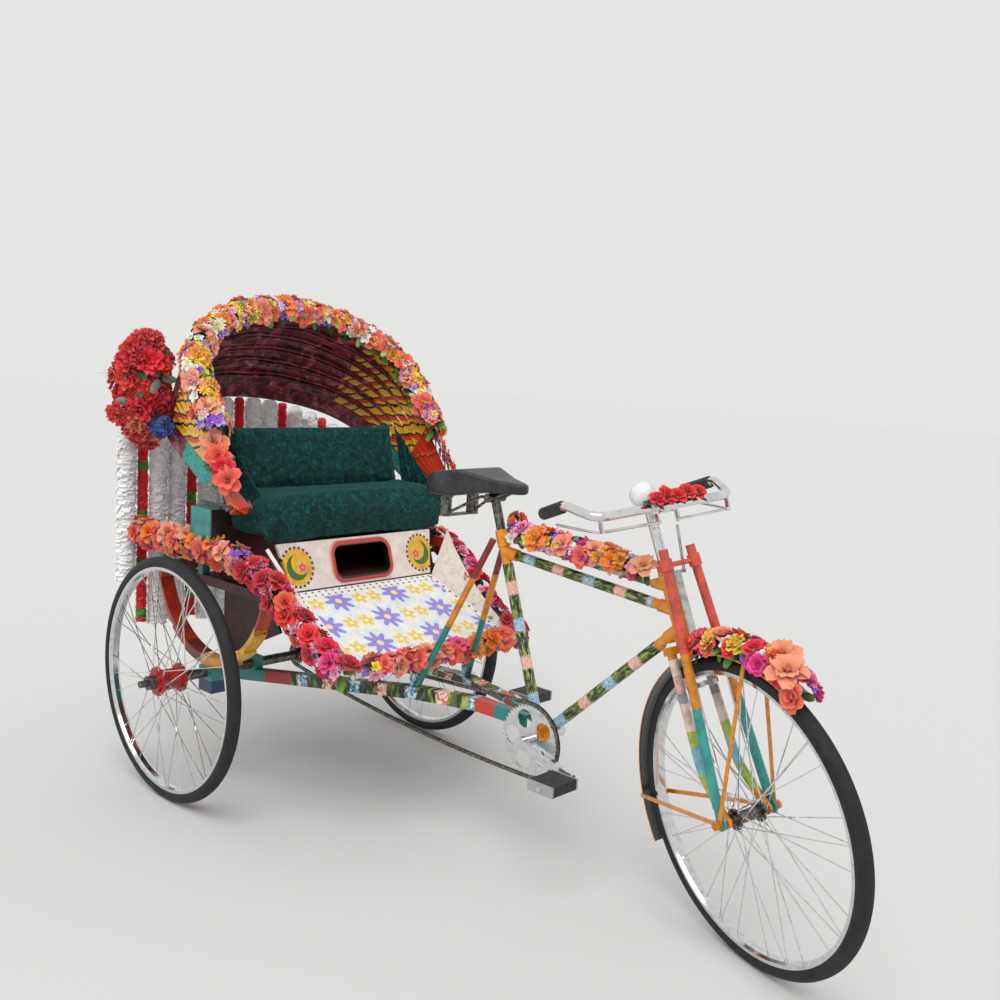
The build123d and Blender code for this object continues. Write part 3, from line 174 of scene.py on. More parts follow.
sun = bpy.data.lights.new("soft_sky", "SUN")
sun.energy = 1.3
sun.angle = math.radians(40)
holder = bpy.data.objects.new("soft_sky", sun)
bpy.context.scene.collection.objects.link(holder)
holder.rotation_euler = Vector((-0.35, 0.55, -1.0)).to_track_quat("-Z", "Y").to_euler()


# Wheels
# Three 28-inch roadster wheels: black moulded rubber tyres with fine ribs round the tread, on chromed
# steel rims laced with plain steel spokes. The rear hubs are painted red, the front one is bare.
def surface(name, points, faces, uvs, finish, body, smooth=True):
    """A mesh from its points and four-sided faces, with one uv pair for each corner of each face."""
    mesh = bpy.data.meshes.new(name)
    mesh.vertices.add(len(points))
    mesh.vertices.foreach_set("co", np.asarray(points, np.float32).ravel())
    faces = np.asarray(faces, np.int32)
    mesh.loops.add(faces.size)
    mesh.loops.foreach_set("vertex_index", faces.ravel())
    mesh.polygons.add(len(faces))
    mesh.polygons.foreach_set("loop_start", np.arange(len(faces), dtype=np.int32) * faces.shape[1])
    mesh.update(calc_edges=True)
    mesh.uv_layers.new(name="UVMap").data.foreach_set("uv", np.asarray(uvs, np.float32).ravel())
    if smooth:
        mesh.polygons.foreach_set("use_smooth", np.ones(len(faces), bool))
    mesh.validate()
    piece = bpy.data.objects.new(name, mesh)
    bpy.context.scene.collection.objects.link(piece)
    mesh.materials.append(finish)
    if body:
        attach(piece, body)
    return piece


def grid(rows, columns, close_rows=False, close_columns=False):
    """Faces of a grid of points, numbered row by row, and the matching corners for uv pairs."""
    faces, corners = [], []
    for i in range(rows if close_rows else rows - 1):
        for j in range(columns if close_columns else columns - 1):
            a, b = (i, j), (i, j + 1)
            c, d = (i + 1, j + 1), (i + 1, j)
            corners.append((a, b, c, d))
            faces.append([(p % rows) * columns + q % columns for p, q in (a, b, c, d)])
    return faces, corners


def turned(name, outline, centre, axis, finish, body, steps):
    """Turns an outline of (radius, place along the axis) in millimetres about an axis through centre."""
    axis = Vector(axis).normalized()
    first = axis.orthogonal().normalized()
    second = axis.cross(first)
    centre = Vector(centre)
    points = []
    for k in range(steps):
        a = 2 * math.pi * k / steps
        out = first * math.cos(a) + second * math.sin(a)
        points += [centre + out * (r * MM) + axis * (y * MM) for r, y in outline]
    faces, corners = grid(steps, len(outline), True, True)
    run = [0.0]
    for (r0, y0), (r1, y1) in zip(outline, outline[1:] + outline[:1]):
        run.append(run[-1] + math.hypot(r1 - r0, y1 - y0) * MM)
    round_trip = 2 * math.pi * max(r for r, y in outline) * MM
    uvs = [(i * round_trip / steps, run[j]) for quad in corners for i, j in quad]
    return surface(name, points, faces, uvs, finish, body)


def dress(finish, *names):
    """Gives CAD pieces their finish."""
    for name in names:
        data = frame["nodes"][name].data
        data.materials.clear()
        data.materials.append(finish)


def mottled(name, colour, roughness, scale, detail, stops, grit=0.5, haze=None, **sockets):
    """A finish whose tone drifts with a noise of that scale, and with haze its roughness too."""
    made, tree, shader = finish_named(name, colour, roughness, **sockets)
    where = add(tree, "TexCoord", out="Object")
    cloud = add(tree, "TexNoise", {"Vector": where, "Scale": scale, "Detail": detail, "Roughness": grit})
    wire(shader, Base_Color=add(tree, "ValToRGB", {"Fac": cloud}, stops=stops))
    if haze:
        low, high, dull, bright = haze
        wire(shader, Roughness=add(tree, "MapRange", {"Value": cloud, "From Min": low, "From Max": high,
                                                      "To Min": dull, "To Max": bright}))
    return made, tree, shader


# Moulded rubber, matt black, greyed with road dust
tyre_rubber, tree, shader = finish_named("vulcanised_rubber", "#1B1C1E", 0.62, Specular_IOR_Level=0.4)
uv = add(tree, "TexCoord", out="UV")
dust = add(tree, "TexNoise", {"Vector": uv, "Scale": 18.0, "Detail": 6.0, "Roughness": 0.7})
tone = add(tree, "ValToRGB", {"Fac": dust}, stops=((0.35, "#151618"), (0.6, "#232426"), (0.8, "#3B3A38")))
wire(shader, Base_Color=tone)
# File marks across the tread, 3 mm apart
DIAGONAL = 2 * math.pi / 0.003 / 20
marks = add(tree, "TexWave", {"Vector": uv, "Scale": DIAGONAL, "Distortion": 0.6}, out="Fac",
            bands_direction="DIAGONAL")
bump = add(tree, "Bump", {"Height": marks, "Strength": 0.35, "Distance": 0.0006})
wire(shader, Normal=bump)

# Chrome plate on rolled steel, bright with a film of road dust
rim_chrome, tree, shader = mottled(
    "chromed_steel_rim", "#D9DADC", 0.16, 60.0, 5.0,
    ((0.25, "#A9A8A6"), (0.42, "#D2D3D4"), (0.75, "#E8E9EB")), 0.65, (0.25, 0.5, 0.30, 0.11), Metallic=1.0)
# Brushed enamel gone dark with grease in patches
hub_red, tree, shader = mottled(
    "red_hub_enamel", "#B3261E", 0.42, 90.0, 6.0, ((0.33, "#2A1412"), (0.45, "#8E1D18"), (0.6, "#C4302A")),
    0.7, Coat_Weight=0.3)
# Plain steel under old oil, dark and unevenly dull
bare_steel, tree, shader = mottled(
    "oiled_bare_steel", "#6A6864", 0.42, 120.0, 6.0, ((0.3, "#2B2724"), (0.5, "#6E6B67"), (0.72, "#A9A7A3")),
    0.7, (0.0, 1.0, 0.6, 0.28), Metallic=1.0)

TYRE_HALF = 19.0
TYRE_MIDDLE_R = 336.0
BEAD_R = 326.0
RIB_DEPTH = 1.1
bead_turn = math.acos((TYRE_MIDDLE_R - BEAD_R) / TYRE_HALF)
tyre_outline = []
for k in range(64):
    a = -math.pi + bead_turn + (2 * math.pi - 2 * bead_turn) * k / 63
    on_tread = max(0.0, 1 - (abs(a) / math.radians(58)) ** 6)
    groove = RIB_DEPTH * on_tread * (0.5 - 0.5 * math.cos(a * 26))
    tyre_outline.append((TYRE_MIDDLE_R + (TYRE_HALF - groove) * math.cos(a),
                         (TYRE_HALF - groove) * math.sin(a)))
tyre_outline.append((BEAD_R - 1, 11))
tyre_outline.append((BEAD_R - 1, -11))
WHEELS = (
    # name of the tyre's node, joint that carries it, sideways place along its axle
    ("right_tyre", "rear_axle_spin", -500),
    ("left_tyre", "left_wheel_spin", 0),
    ("front_tyre", "front_wheel_spin", 0),
)
for name, joint_name, sideways in WHEELS:
    joint = next(j for j in frame["joints"] if j["name"] == joint_name)
    axis = Vector(joint["axis"])
    centre = Vector(joint["pos_m"]) + axis * (sideways * MM)
    tyre = turned(name + "_treaded", tyre_outline, centre, axis, tyre_rubber, joint["child"],
                  256)
    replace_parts(tyre, name)

dress(rim_chrome, "right_rim", "left_rim", "front_rim", "chainset")
dress(hub_red, "right_hub", "left_hub")
dress(bare_steel, "rear_axle", "front_hub", "chain", "saddle_post", "hood_pivots")


# Bicycle frame
# A roadster frame of steel tubes brazed into lugs. The lugs are brushed with orange enamel, and the
# tubes between them are wrapped in a printed floral strip, olive and black with blue and pink posies.
# Brushed enamel, satin, streaked and chipped to brown primer
orange_enamel, tree, shader = finish_named("orange_brushed_enamel", "#E08A12", 0.34, Coat_Weight=0.4,
                                           Coat_Roughness=0.2)
where = add(tree, "TexCoord", out="Object")
strokes = add(tree, "TexNoise", {"Vector": where, "Scale": 28.0, "Detail": 4.0, "Roughness": 0.6})
tone = add(tree, "ValToRGB", {"Fac": strokes},
           stops=((0.28, "#B9620E"), (0.45, "#E08A12"), (0.75, "#F0A022")))
chips = add(tree, "TexNoise", {"Vector": where, "Scale": 260.0, "Detail": 2.0})
chipped = add(tree, "ValToRGB", {"Fac": chips}, stops=((0.27, "#FFFFFF"), (0.3, "#000000")))
paint = add(tree, "MixRGB", {"Fac": chipped, "Color1": tone, "Color2": "#4A3A2A"})
wire(shader, Base_Color=paint)
bump = add(tree, "Bump", {"Height": strokes, "Strength": 0.2, "Distance": 0.001})
wire(shader, Normal=bump)

POSY_EVERY = 0.098      # metres from one posy to the next, blue and pink in turn


def posy_print(tree, along, pattern):
    """A print of olive leaves on black, with posies at even steps along the tube."""
    stretched = add(tree, "Mapping",
                    {"Vector": pattern, "Scale": (26.0, 9.0, 9.0), "Rotation": (0, 0, 0.35)})
    leaves = add(tree, "TexNoise", {"Vector": stretched, "Scale": 1.6, "Detail": 3.0, "Distortion": 0.8})
    leaf_tone = add(tree, "ValToRGB", {"Fac": leaves},
                    stops=((0.42, "#11130E"), (0.48, "#33431C"), (0.56, "#6F8630"), (0.68, "#B4BF62")))
    repeat = add(tree, "Math DIVIDE", (along, POSY_EVERY))
    within = add(tree, "Math FRACT", (repeat,))
    number = add(tree, "Math FLOORED_MODULO", (repeat, 2.0))
    odd = add(tree, "Math GREATER_THAN", (number, 1.0))
    ragged = add(tree, "TexNoise", {"Vector": pattern, "Scale": 90.0, "Detail": 2.0})
    off_middle = add(tree, "Math SUBTRACT", (within, 0.5))
    off_middle = add(tree, "Math ABSOLUTE", (off_middle,))
    off_middle = add(tree, "Math MULTIPLY_ADD", (ragged, 0.30, off_middle))
    in_posy = add(tree, "ValToRGB", {"Fac": off_middle}, stops=((0.325, "#FFFFFF"), (0.34, "#000000")))
    petals = add(tree, "TexNoise", {"Vector": pattern, "Scale": 110.0, "Detail": 3.0})
    blue = add(tree, "ValToRGB", {"Fac": petals},
               stops=((0.40, "#2F6E96"), (0.5, "#8CC3D9"), (0.6, "#E8F4F2")))
    pink = add(tree, "ValToRGB", {"Fac": petals},
               stops=((0.38, "#C2453B"), (0.48, "#EFA79A"), (0.6, "#F8EBD6")))
    posy = add(tree, "MixRGB", {"Fac": odd, "Color1": blue, "Color2": pink})
    return add(tree, "MixRGB", {"Fac": in_posy, "Color1": leaf_tone, "Color2": posy})


# Printed plastic strip wound on the tubes, with a soft wet gloss
posy_wrap, tree, shader = finish_named("printed_posy_wrap", "#6F7F22", 0.4, Coat_Weight=0.5,
                                       Coat_Roughness=0.25)
uv = add(tree, "TexCoord", out="UV")
wire(shader, Base_Color=posy_print(tree, add(tree, "SeparateXYZ", (uv,), out="X"), uv))


def painted(name, way, start, end, zones, roughness=0.36, wobble=0.04, coat=0.4, metallic=0.0):
    """Brushed enamel, satin and chipped, in bands of colour along a way from start to end in millimetres."""
    made, tree, shader = finish_named(name, zones[0][1], roughness, Coat_Weight=coat, Coat_Roughness=0.2,
                                      Metallic=metallic)
    where = add(tree, "TexCoord", out="Object")
    far = add(tree, "VectorMath DOT_PRODUCT", (where, tuple(way)), out="Value")
    share = add(tree, "MapRange", {"Value": far, "From Min": start * MM, "From Max": end * MM})
    strokes = add(tree, "TexNoise", {"Vector": where, "Scale": 34.0, "Detail": 4.0, "Roughness": 0.6})
    uneven = add(tree, "Math SUBTRACT", (strokes, 0.5))
    share = add(tree, "Math MULTIPLY_ADD", (uneven, wobble, share))
    coat_tone = add(tree, "ValToRGB", {"Fac": share}, stops=zones, sharp=True)
    streaks = add(tree, "ValToRGB", {"Fac": strokes}, stops=((0.3, "#BFBFBF"), (0.6, "#FFFFFF")))
    brushed = add(tree, "MixRGB", {"Fac": 1.0, "Color1": coat_tone, "Color2": streaks},
                  blend_type="MULTIPLY")
    chips = add(tree, "TexNoise", {"Vector": where, "Scale": 240.0, "Detail": 2.0})
    chipped = add(tree, "ValToRGB", {"Fac": chips}, stops=((0.27, "#FFFFFF"), (0.3, "#000000")))
    paint = add(tree, "MixRGB", {"Fac": chipped, "Color1": brushed, "Color2": "#3A2F28"})
    wire(shader, Base_Color=paint)
    bump = add(tree, "Bump", {"Height": strokes, "Strength": 0.2, "Distance": 0.001})
    wire(shader, Normal=bump)
    return made


def frames_along(points):
    """Two steady cross directions at each point of a line."""
    last = len(points) - 1
    ways = [(points[min(k + 1, last)] - points[max(k - 1, 0)]).normalized() for k in range(last + 1)]
    first = ways[0].orthogonal().normalized()
    crosses = []
    for way in ways:
        first = (first - way * first.dot(way)).normalized()
        crosses.append((first, way.cross(first)))
    return crosses


CAP_SHARE = 0.02       # a tube closes to this share of its radius


def tube(name, points, radius, finish, body, sides):
    """A round tube along a line of points in metres. radius, in millimetres, is one value or a list."""
    points = [Vector(p) for p in points]
    radii = list(radius) if isinstance(radius, (list, tuple)) else [radius] * len(points)
    crosses = frames_along(points)
    points = [points[0]] + points + [points[-1]]
    radii = [radii[0] * CAP_SHARE] + radii + [radii[-1] * CAP_SHARE]
    crosses = [crosses[0]] + crosses + [crosses[-1]]
    made, run = [], [0.0]
    for k, (p, r, (u, v)) in enumerate(zip(points, radii, crosses)):
        if k:
            run.append(run[-1] + (p - points[k - 1]).length)
        for j in range(sides):
            a = 2 * math.pi * j / sides
            made.append(p + (u * math.cos(a) + v * math.sin(a)) * (r * MM))
    faces, corners = grid(len(points), sides, False, True)
    uvs = [(run[i], j / sides) for quad in corners for i, j in quad]
    return surface(name, made, faces, uvs, finish, body)


def stretch(a, b, steps):
    """Evenly spaced points from a to b."""
    return [Vector(a).lerp(Vector(b), k / steps) for k in range(steps + 1)]


steer = next(j for j in frame["joints"] if j["name"] == "steering")
spin = next(j for j in frame["joints"] if j["name"] == "front_wheel_spin")
UP = Vector(steer["axis"]).normalized()
ACROSS = Vector(spin["axis"]).normalized()
AHEAD = ACROSS.cross(UP)
RAKE = 62.0
STEER_FOOT = Vector(spin["pos_m"]) - AHEAD * (RAKE * MM)


def on_fork(x, y, z):
    """A place on the steered parts, in millimetres: ahead of the steering axis, to the left, along it."""
    return STEER_FOOT + AHEAD * (x * MM) + ACROSS * (y * MM) + UP * (z * MM)


BRACKET = Vector(next(j["pos_m"] for j in frame["joints"] if j["name"] == "crank_spin"))
seat_lean = math.radians(71.0)
SEAT_WAY = Vector((-math.cos(seat_lean), 0, math.sin(seat_lean)))
seat_top = BRACKET + SEAT_WAY * 0.548
dress(orange_enamel, "bike_frame")
WRAPS = (
    # name, from, to, bare length at each end in mm, radius in mm
    ("upper_tube_wrap", seat_top - SEAT_WAY * 0.012, on_fork(0, 0, 529), 47, 66, 13.5),
    ("lower_tube_wrap", seat_top - SEAT_WAY * 0.058, on_fork(0, 0, 471), 47, 62, 13.5),
    ("down_tube_wrap", BRACKET, on_fork(0, 0, 429), 48, 78, 14.5),
    ("seat_tube_wrap", BRACKET, seat_top, 48, 92, 14.5),
)
for name, low, high, bare_low, bare_high, radius in WRAPS:
    way = (high - low).normalized()
    line = stretch(low + way * bare_low * MM, high - way * bare_high * MM, 12)
    tube(name, line, radius, posy_wrap, "root", 24)


STAY_ZONES = ((0.0, "#17847C"), (0.42, "#E08A12"), (0.74, "#8E1F1C"))
# Enamel in three hand-cut bands, teal below, then orange and dark red
stay_enamel = painted("stay_enamel_in_three_bands", (0, 0, 1), 410, 850, STAY_ZONES)
dress(stay_enamel, "seat_stays")


# Saddle and pedals
# A wide sprung saddle of moulded foam under stretched black vinyl, piped round its lower edge, and
# block pedals of black rubber between bright steel end plates.
# Fine-grained vinyl pulled tight, half glossy, paler in patches
saddle_vinyl, tree, shader = mottled(
    "stretched_black_vinyl", "#2B2D30", 0.38, 26.0, 6.0,
    ((0.35, "#202225"), (0.6, "#34373A"), (0.8, "#55585B")), 0.65, (0.0, 1.0, 0.3, 0.5),
    Specular_IOR_Level=0.45)
where = add(tree, "TexCoord", out="Object")
grain = add(tree, "TexVoronoi", {"Vector": where, "Scale": 620.0}, out="Distance")
wire(shader, Normal=add(tree, "Bump", {"Height": grain, "Strength": 0.2, "Distance": 0.0006}))


def copy_of(node, name):
    """A free copy of a CAD solid's mesh."""
    source = frame["nodes"][node]
    made = bpy.data.objects.new(name, source.data.copy())
    bpy.context.scene.collection.objects.link(made)
    made.data.materials.clear()
    return made


def bake_modifiers(piece):
    """Replaces the piece's mesh by what its modifiers make of it."""
    ready = piece.evaluated_get(bpy.context.evaluated_depsgraph_get())
    mesh = bpy.data.meshes.new_from_object(ready)
    piece.modifiers.clear()
    piece.data = mesh


SADDLE_VOXEL = 3.5
saddle = copy_of("saddle", "vinyl_saddle")
remesh = saddle.modifiers.new("remesh", "REMESH")
remesh.mode = "VOXEL"
remesh.voxel_size = SADDLE_VOXEL * MM
rounding = saddle.modifiers.new("rounding", "SMOOTH")
rounding.factor, rounding.iterations = 0.6, 26
bake_modifiers(saddle)
saddle.data.polygons.foreach_set("use_smooth", np.ones(len(saddle.data.polygons), bool))
saddle.data.materials.append(saddle_vinyl)
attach(saddle, "root")
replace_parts(saddle, "saddle")

# Moulded rubber, matt and dusty, between plated end plates
pedal_rubber, tree, shader = finish_named("black_pedal_rubber", "#1D1E20", 0.6)
where = add(tree, "TexCoord", out="Object")
sideways = add(tree, "Math ABSOLUTE", (add(tree, "SeparateXYZ", (where,), out="Y"),))
from_middle = add(tree, "Math SUBTRACT", (sideways, 0.140))
from_middle = add(tree, "Math ABSOLUTE", (from_middle,))
end_plate = add(tree, "Math GREATER_THAN", (from_middle, 0.0425))
grime = add(tree, "TexNoise", {"Vector": where, "Scale": 80.0, "Detail": 5.0})
tone = add(tree, "ValToRGB", {"Fac": grime}, stops=((0.35, "#141516"), (0.7, "#3A3A39")))
plated = add(tree, "MixRGB", {"Fac": end_plate, "Color1": tone, "Color2": "#BFC1C3"})
wire(shader, Base_Color=plated, Metallic=end_plate)
dress(pedal_rubber, "pedal_left", "pedal_right")


# Fork, guard and handlebar
# A rod-braked roadster's steering: blades and upright stays brushed in bands of enamel, a black pressed
# steel guard on flat orange stays, and a swept chromed bar with its levers, grips, bell and brake stirrup.
foot_along = STEER_FOOT.dot(UP) / MM
BLADE_ZONES = ((0.0, "#E08A12"), (0.10, "#A8BF4A"), (0.22, "#7FBFCB"), (0.34, "#A9C24E"), (0.42, "#EBD3C6"),
               (0.55, "#9EA2A0"), (0.59, "#E9B7B0"), (0.68, "#F1DDCB"), (0.76, "#E08A12"))
# Odd ends of enamel and print, one band above another
blade_enamel = painted("blade_enamel_in_bands", UP, foot_along, foot_along + 480, BLADE_ZONES)
dress(blade_enamel, "fork")
UPRIGHT_ZONES = ((0.0, "#2E9C94"), (0.40, "#E08A12"), (0.60, "#D8503C"))
upright_enamel = painted("upright_enamel_in_bands", UP, foot_along, foot_along + 620, UPRIGHT_ZONES)
dress(upright_enamel, "fork_stays")

WHEEL_MIDDLE = Vector(spin["pos_m"]).dot(ACROSS)
# Gloss black enamel on pressed steel, worn orange at its outer edges
guard_enamel, tree, shader = finish_named("black_guard_enamel", "#191B1D", 0.3, Coat_Weight=0.4,
                                          Coat_Roughness=0.15)
where = add(tree, "TexCoord", out="Object")
across = add(tree, "VectorMath DOT_PRODUCT", (where, tuple(ACROSS)), out="Value")
across = add(tree, "Math SUBTRACT", (across, WHEEL_MIDDLE))
across = add(tree, "Math ABSOLUTE", (across,))
grime = add(tree, "TexNoise", {"Vector": where, "Scale": 60.0, "Detail": 6.0, "Roughness": 0.7})
black = add(tree, "ValToRGB", {"Fac": grime}, stops=((0.3, "#101112"), (0.55, "#1E2022"), (0.8, "#4A4640")))
orange = add(tree, "ValToRGB", {"Fac": grime}, stops=((0.3, "#A85A10"), (0.5, "#E08A12"), (0.8, "#F0A022")))
outer = add(tree, "Math GREATER_THAN", (across, 0.0265))
wire(shader, Base_Color=add(tree, "MixRGB", {"Fac": outer, "Color1": black, "Color2": orange}))
dress(guard_enamel, "front_mudguard")

# Chrome plate on drawn tube, the brightest metal of all
bar_chrome, tree, shader = mottled(
    "bright_chromed_tube", "#DDDEE0", 0.1, 34.0, 6.0,
    ((0.25, "#B9B8B5"), (0.45, "#DCDDDF"), (0.75, "#EFF0F1")), 0.7, (0.3, 0.6, 0.2, 0.07), Metallic=1.0)
dress(bar_chrome, "handlebar", "brake_levers")

STIRRUP_ZONES = ((0.0, "#C9CCCE"), (0.3, "#D7D8D6"), (0.72, "#BFC2C4"))
stirrup_steel = painted("galvanised_stirrup_steel", UP, foot_along + 280, foot_along + 640,
                         STIRRUP_ZONES, 0.3, 0.02, 0.0, 0.85)
dress(stirrup_steel, "stirrup_brake")

# Stoved enamel on a spun steel dome, glossy and a little yellowed
bell_enamel, tree, shader = mottled(
    "white_bell_enamel", "#ECEDEC", 0.14, 70.0, 5.0, ((0.28, "#A9A8A2"), (0.42, "#E9EAE9"), (0.8, "#F4F5F4")),
    Coat_Weight=0.6, Coat_Roughness=0.08)
dress(bell_enamel, "bell")

# Moulded rubber, satin black, with finger rings 5 mm apart along the vehicle
grip_rubber, tree, shader = mottled(
    "moulded_grip_rubber", "#232426", 0.55, 60.0, 4.0, ((0.35, "#17181A"), (0.75, "#3C3D3F")))
where = add(tree, "TexCoord", out="Object")
rings = add(tree, "TexWave", {"Vector": where, "Scale": 1 / 0.005 / 3.14}, out="Fac", bands_direction="X")
wire(shader, Normal=add(tree, "Bump", {"Height": rings, "Strength": 0.6, "Distance": 0.0012}))
dress(grip_rubber, "grips")


# Chassis and springs
# Two flat steel rails under the body, wrapped in the same floral print as the bicycle's tubes, and
# half-bow leaf springs over the axle's bearings, all brushed in bright enamel by hand.
# The printed strip again, with ends brushed teal and red
rail_print, tree, shader = finish_named("printed_rail_wrap", "#6F7F22", 0.4, Coat_Weight=0.4,
                                        Coat_Roughness=0.25)
where = add(tree, "TexCoord", out="Object")
ahead = add(tree, "SeparateXYZ", (where,), out="X")
from_axle = add(tree, "Math SUBTRACT", (ahead, AXLE.x))
printed = posy_print(tree, ahead, where)
share = add(tree, "MapRange", {"Value": from_axle, "From Min": -0.06, "From Max": 0.96})
RAIL_ENDS = ((0.0, "#1B7E78"), (0.12, "#A82A22"), (0.22, "#000000"), (0.74, "#000000"), (0.84, "#C23A28"),
             (0.90, "#1B7E78"))
ends = add(tree, "ValToRGB", {"Fac": share}, stops=RAIL_ENDS, sharp=True)
bare = add(tree, "ValToRGB", {"Fac": share}, stops=((0.0, "#FFFFFF"), (0.22, "#000000"), (0.84, "#FFFFFF")),
           sharp=True)
wire(shader, Base_Color=add(tree, "MixRGB", {"Fac": bare, "Color1": printed, "Color2": ends}))
dress(rail_print, "chassis_rails")
SPRING_ZONES = ((0.0, "#B5361F"), (0.30, "#7A2A1A"), (0.44, "#E79A1C"), (0.76, "#F2B62C"),
                (0.92, "#C9441F"))
spring_enamel = painted("spring_enamel", (1, 0, 0), AXLE.x / MM - 293, AXLE.x / MM + 277, SPRING_ZONES)
dress(spring_enamel, "leaf_springs")
bearing_enamel = painted("bearing_enamel", (0, 0, 1), 296, 379, ((0.0, "#1B2F5E"), (0.45, "#1F8F88")))
dress(bearing_enamel, "axle_bearings")


# Body boards
# Planed boards nailed to a timber deck and painted by hand: cream inside the footwell, teal on the
# armrests and railings, dark maroon below. A printed sheet covers the footboard.
# Old maroon gloss gone dull
deck_paint = painted("dark_board_paint", (0, 0, 1), 400, 800, ((0.0, "#3A1418"), (0.5, "#4A1A1C")), 0.55,
                     0.04, 0.1)
dress(deck_paint, "deck_frame", "valance_boards", "back_board", "seat_box")
TRIM_ZONES = ((0.0, "#1D1513"), (0.05, "#1F8F88"), (0.93, "#1D1513"))
# Teal gloss with near-black edges
arm_paint = painted("teal_arm_paint", (1, 0, 0), AXLE.x / MM - 52, AXLE.x / MM + 64, TRIM_ZONES, 0.42, 0.02)
dress(arm_paint, "armrests")
RAILING_ZONES = ((0.0, "#E08A12"), (0.08, "#1F8F88"), (0.34, "#D8A01C"), (0.42, "#1F8F88"),
                 (0.72, "#B5361F"))
railing_paint = painted("railing_paint", (1, 0, 0), AXLE.x / MM - 412, AXLE.x / MM + 250, RAILING_ZONES)
dress(railing_paint, "side_railings")


def away(tree, u, v, u0, v0):
    """How far a point (u, v) lies from (u0, v0)."""
    du = add(tree, "Math SUBTRACT", (u, u0))
    dv = add(tree, "Math SUBTRACT", (v, v0))
    square = add(tree, "Math MULTIPLY", (du, du))
    square = add(tree, "Math MULTIPLY_ADD", (dv, dv, square))
    return add(tree, "Math SQRT", (square,)), du, dv


def petalled(tree, u, v, u0, v0, petals, radius):
    """1 inside a flower of that many petals about (u0, v0), 0 outside, with the distance from its middle."""
    far, du, dv = away(tree, u, v, u0, v0)
    turn = add(tree, "Math ARCTAN2", (du, dv))
    turn = add(tree, "Math MULTIPLY", (turn, float(petals)))
    edge = add(tree, "Math COSINE", (turn,))
    edge = add(tree, "Math MULTIPLY_ADD", (edge, 0.24 * radius, 0.76 * radius))
    return add(tree, "Math LESS_THAN", (far, edge)), far


def board_places(tree):
    """Metres ahead of the rear axle, sideways and up, at a point of a board."""
    where = add(tree, "TexCoord", out="Object")
    split = tree.nodes.new("ShaderNodeSeparateXYZ")
    tree.links.new(where, split.inputs[0])
    return where, add(tree, "Math SUBTRACT", (split.outputs[0], AXLE.x)), *split.outputs[1:]


# Cream gloss over planed wood, with brush marks
cream_paint, tree, shader = finish_named("cream_board_gloss", "#E9DFD6", 0.4, Coat_Weight=0.25,
                                         Coat_Roughness=0.25)
where, x, y, z = board_places(tree)
brush = add(tree, "Mapping", {"Vector": where, "Scale": (40.0, 6.0, 40.0)})
strokes = add(tree, "TexNoise", {"Vector": brush, "Scale": 2.0, "Detail": 5.0, "Roughness": 0.6})
tone = add(tree, "ValToRGB", {"Fac": strokes}, stops=((0.3, "#CFC3B8"), (0.5, "#E6DBD0"), (0.7, "#EFE7DE")))
wire(shader, Base_Color=tone)
dress(cream_paint, "side_panels")

MEDAL_Y, MEDAL_Z, MEDAL_R = 0.238, 0.697, 0.058
HATCH_Z, HATCH_HALF_W, HATCH_HALF_H, HATCH_ROUND = 0.6984, 0.1025, 0.046, 0.026
# Cream gloss, hand painted with medallions and a red hatch mould, the hatch's opening inside the mould
# painted near-black as painted shade
panel_paint, tree, shader = finish_named("panel_gloss_with_medallions", "#E9DAD0", 0.4, Coat_Weight=0.25)
where, x, y, z = board_places(tree)
strokes = add(tree, "TexNoise", {"Vector": where, "Scale": 30.0, "Detail": 5.0, "Roughness": 0.6})
ground = add(tree, "ValToRGB", {"Fac": strokes},
             stops=((0.3, "#D9C6BC"), (0.5, "#E9DAD0"), (0.7, "#F1E8E1")))
sideways = add(tree, "Math ABSOLUTE", (y,))
far, du, dv = away(tree, sideways, z, MEDAL_Y, MEDAL_Z)
turn = add(tree, "Math MULTIPLY", (add(tree, "Math ARCTAN2", (du, dv)), 22.0))
dots = add(tree, "Math GREATER_THAN", (add(tree, "Math COSINE", (turn,)), -0.35))
disc = add(tree, "Math LESS_THAN", (far, MEDAL_R))
face = add(tree, "Math LESS_THAN", (far, MEDAL_R - 0.007))
rim = add(tree, "Math SUBTRACT", (disc, face))
rim = add(tree, "Math MULTIPLY", (rim, dots))
yellow = add(tree, "ValToRGB", {"Fac": strokes}, stops=((0.35, "#D59A1C"), (0.6, "#EBBE33")))
inner = add(tree, "Math LESS_THAN", (away(tree, sideways, z, MEDAL_Y, MEDAL_Z)[0], 0.036))
bite = add(tree, "Math GREATER_THAN", (away(tree, sideways, z, MEDAL_Y - 0.012, MEDAL_Z + 0.010)[0], 0.031))
crescent = add(tree, "Math MULTIPLY", (inner, bite))
bud, bud_far = petalled(tree, sideways, z, MEDAL_Y - 0.018, MEDAL_Z - 0.002, 5, 0.019)
bud_tone = add(tree, "ValToRGB", {"Fac": add(tree, "Math MULTIPLY", (bud_far, 50.0))},
               stops=((0.0, "#F3C3B0"), (0.25, "#D8453C"), (0.8, "#E88C82")))
HATCH_STEPS = ((HATCH_HALF_W, sideways, 0.0), (HATCH_HALF_H, z, HATCH_Z))
corner = []
for half, place, middle in HATCH_STEPS:
    off = add(tree, "Math ABSOLUTE", (add(tree, "Math SUBTRACT", (place, middle)),))
    off = add(tree, "Math SUBTRACT", (off, half - HATCH_ROUND))
    corner.append(add(tree, "Math MAXIMUM", (off, 0.0)))
square = add(tree, "Math MULTIPLY", (corner[0], corner[0]))
square = add(tree, "Math MULTIPLY_ADD", (corner[1], corner[1], square))
from_hatch = add(tree, "Math DIVIDE", (add(tree, "Math SQRT", (square,)), 0.045))
# Near-black inside the mould, painted shade of the hatch's opening, then the red mould and a pale pink line
# round it
hatch_shade_and_mould = add(tree, "ValToRGB", {"Fac": from_hatch},
            stops=((0.0, "#1A1413"), (0.63, "#C23B33"), (0.86, "#E9A69B")), sharp=True)
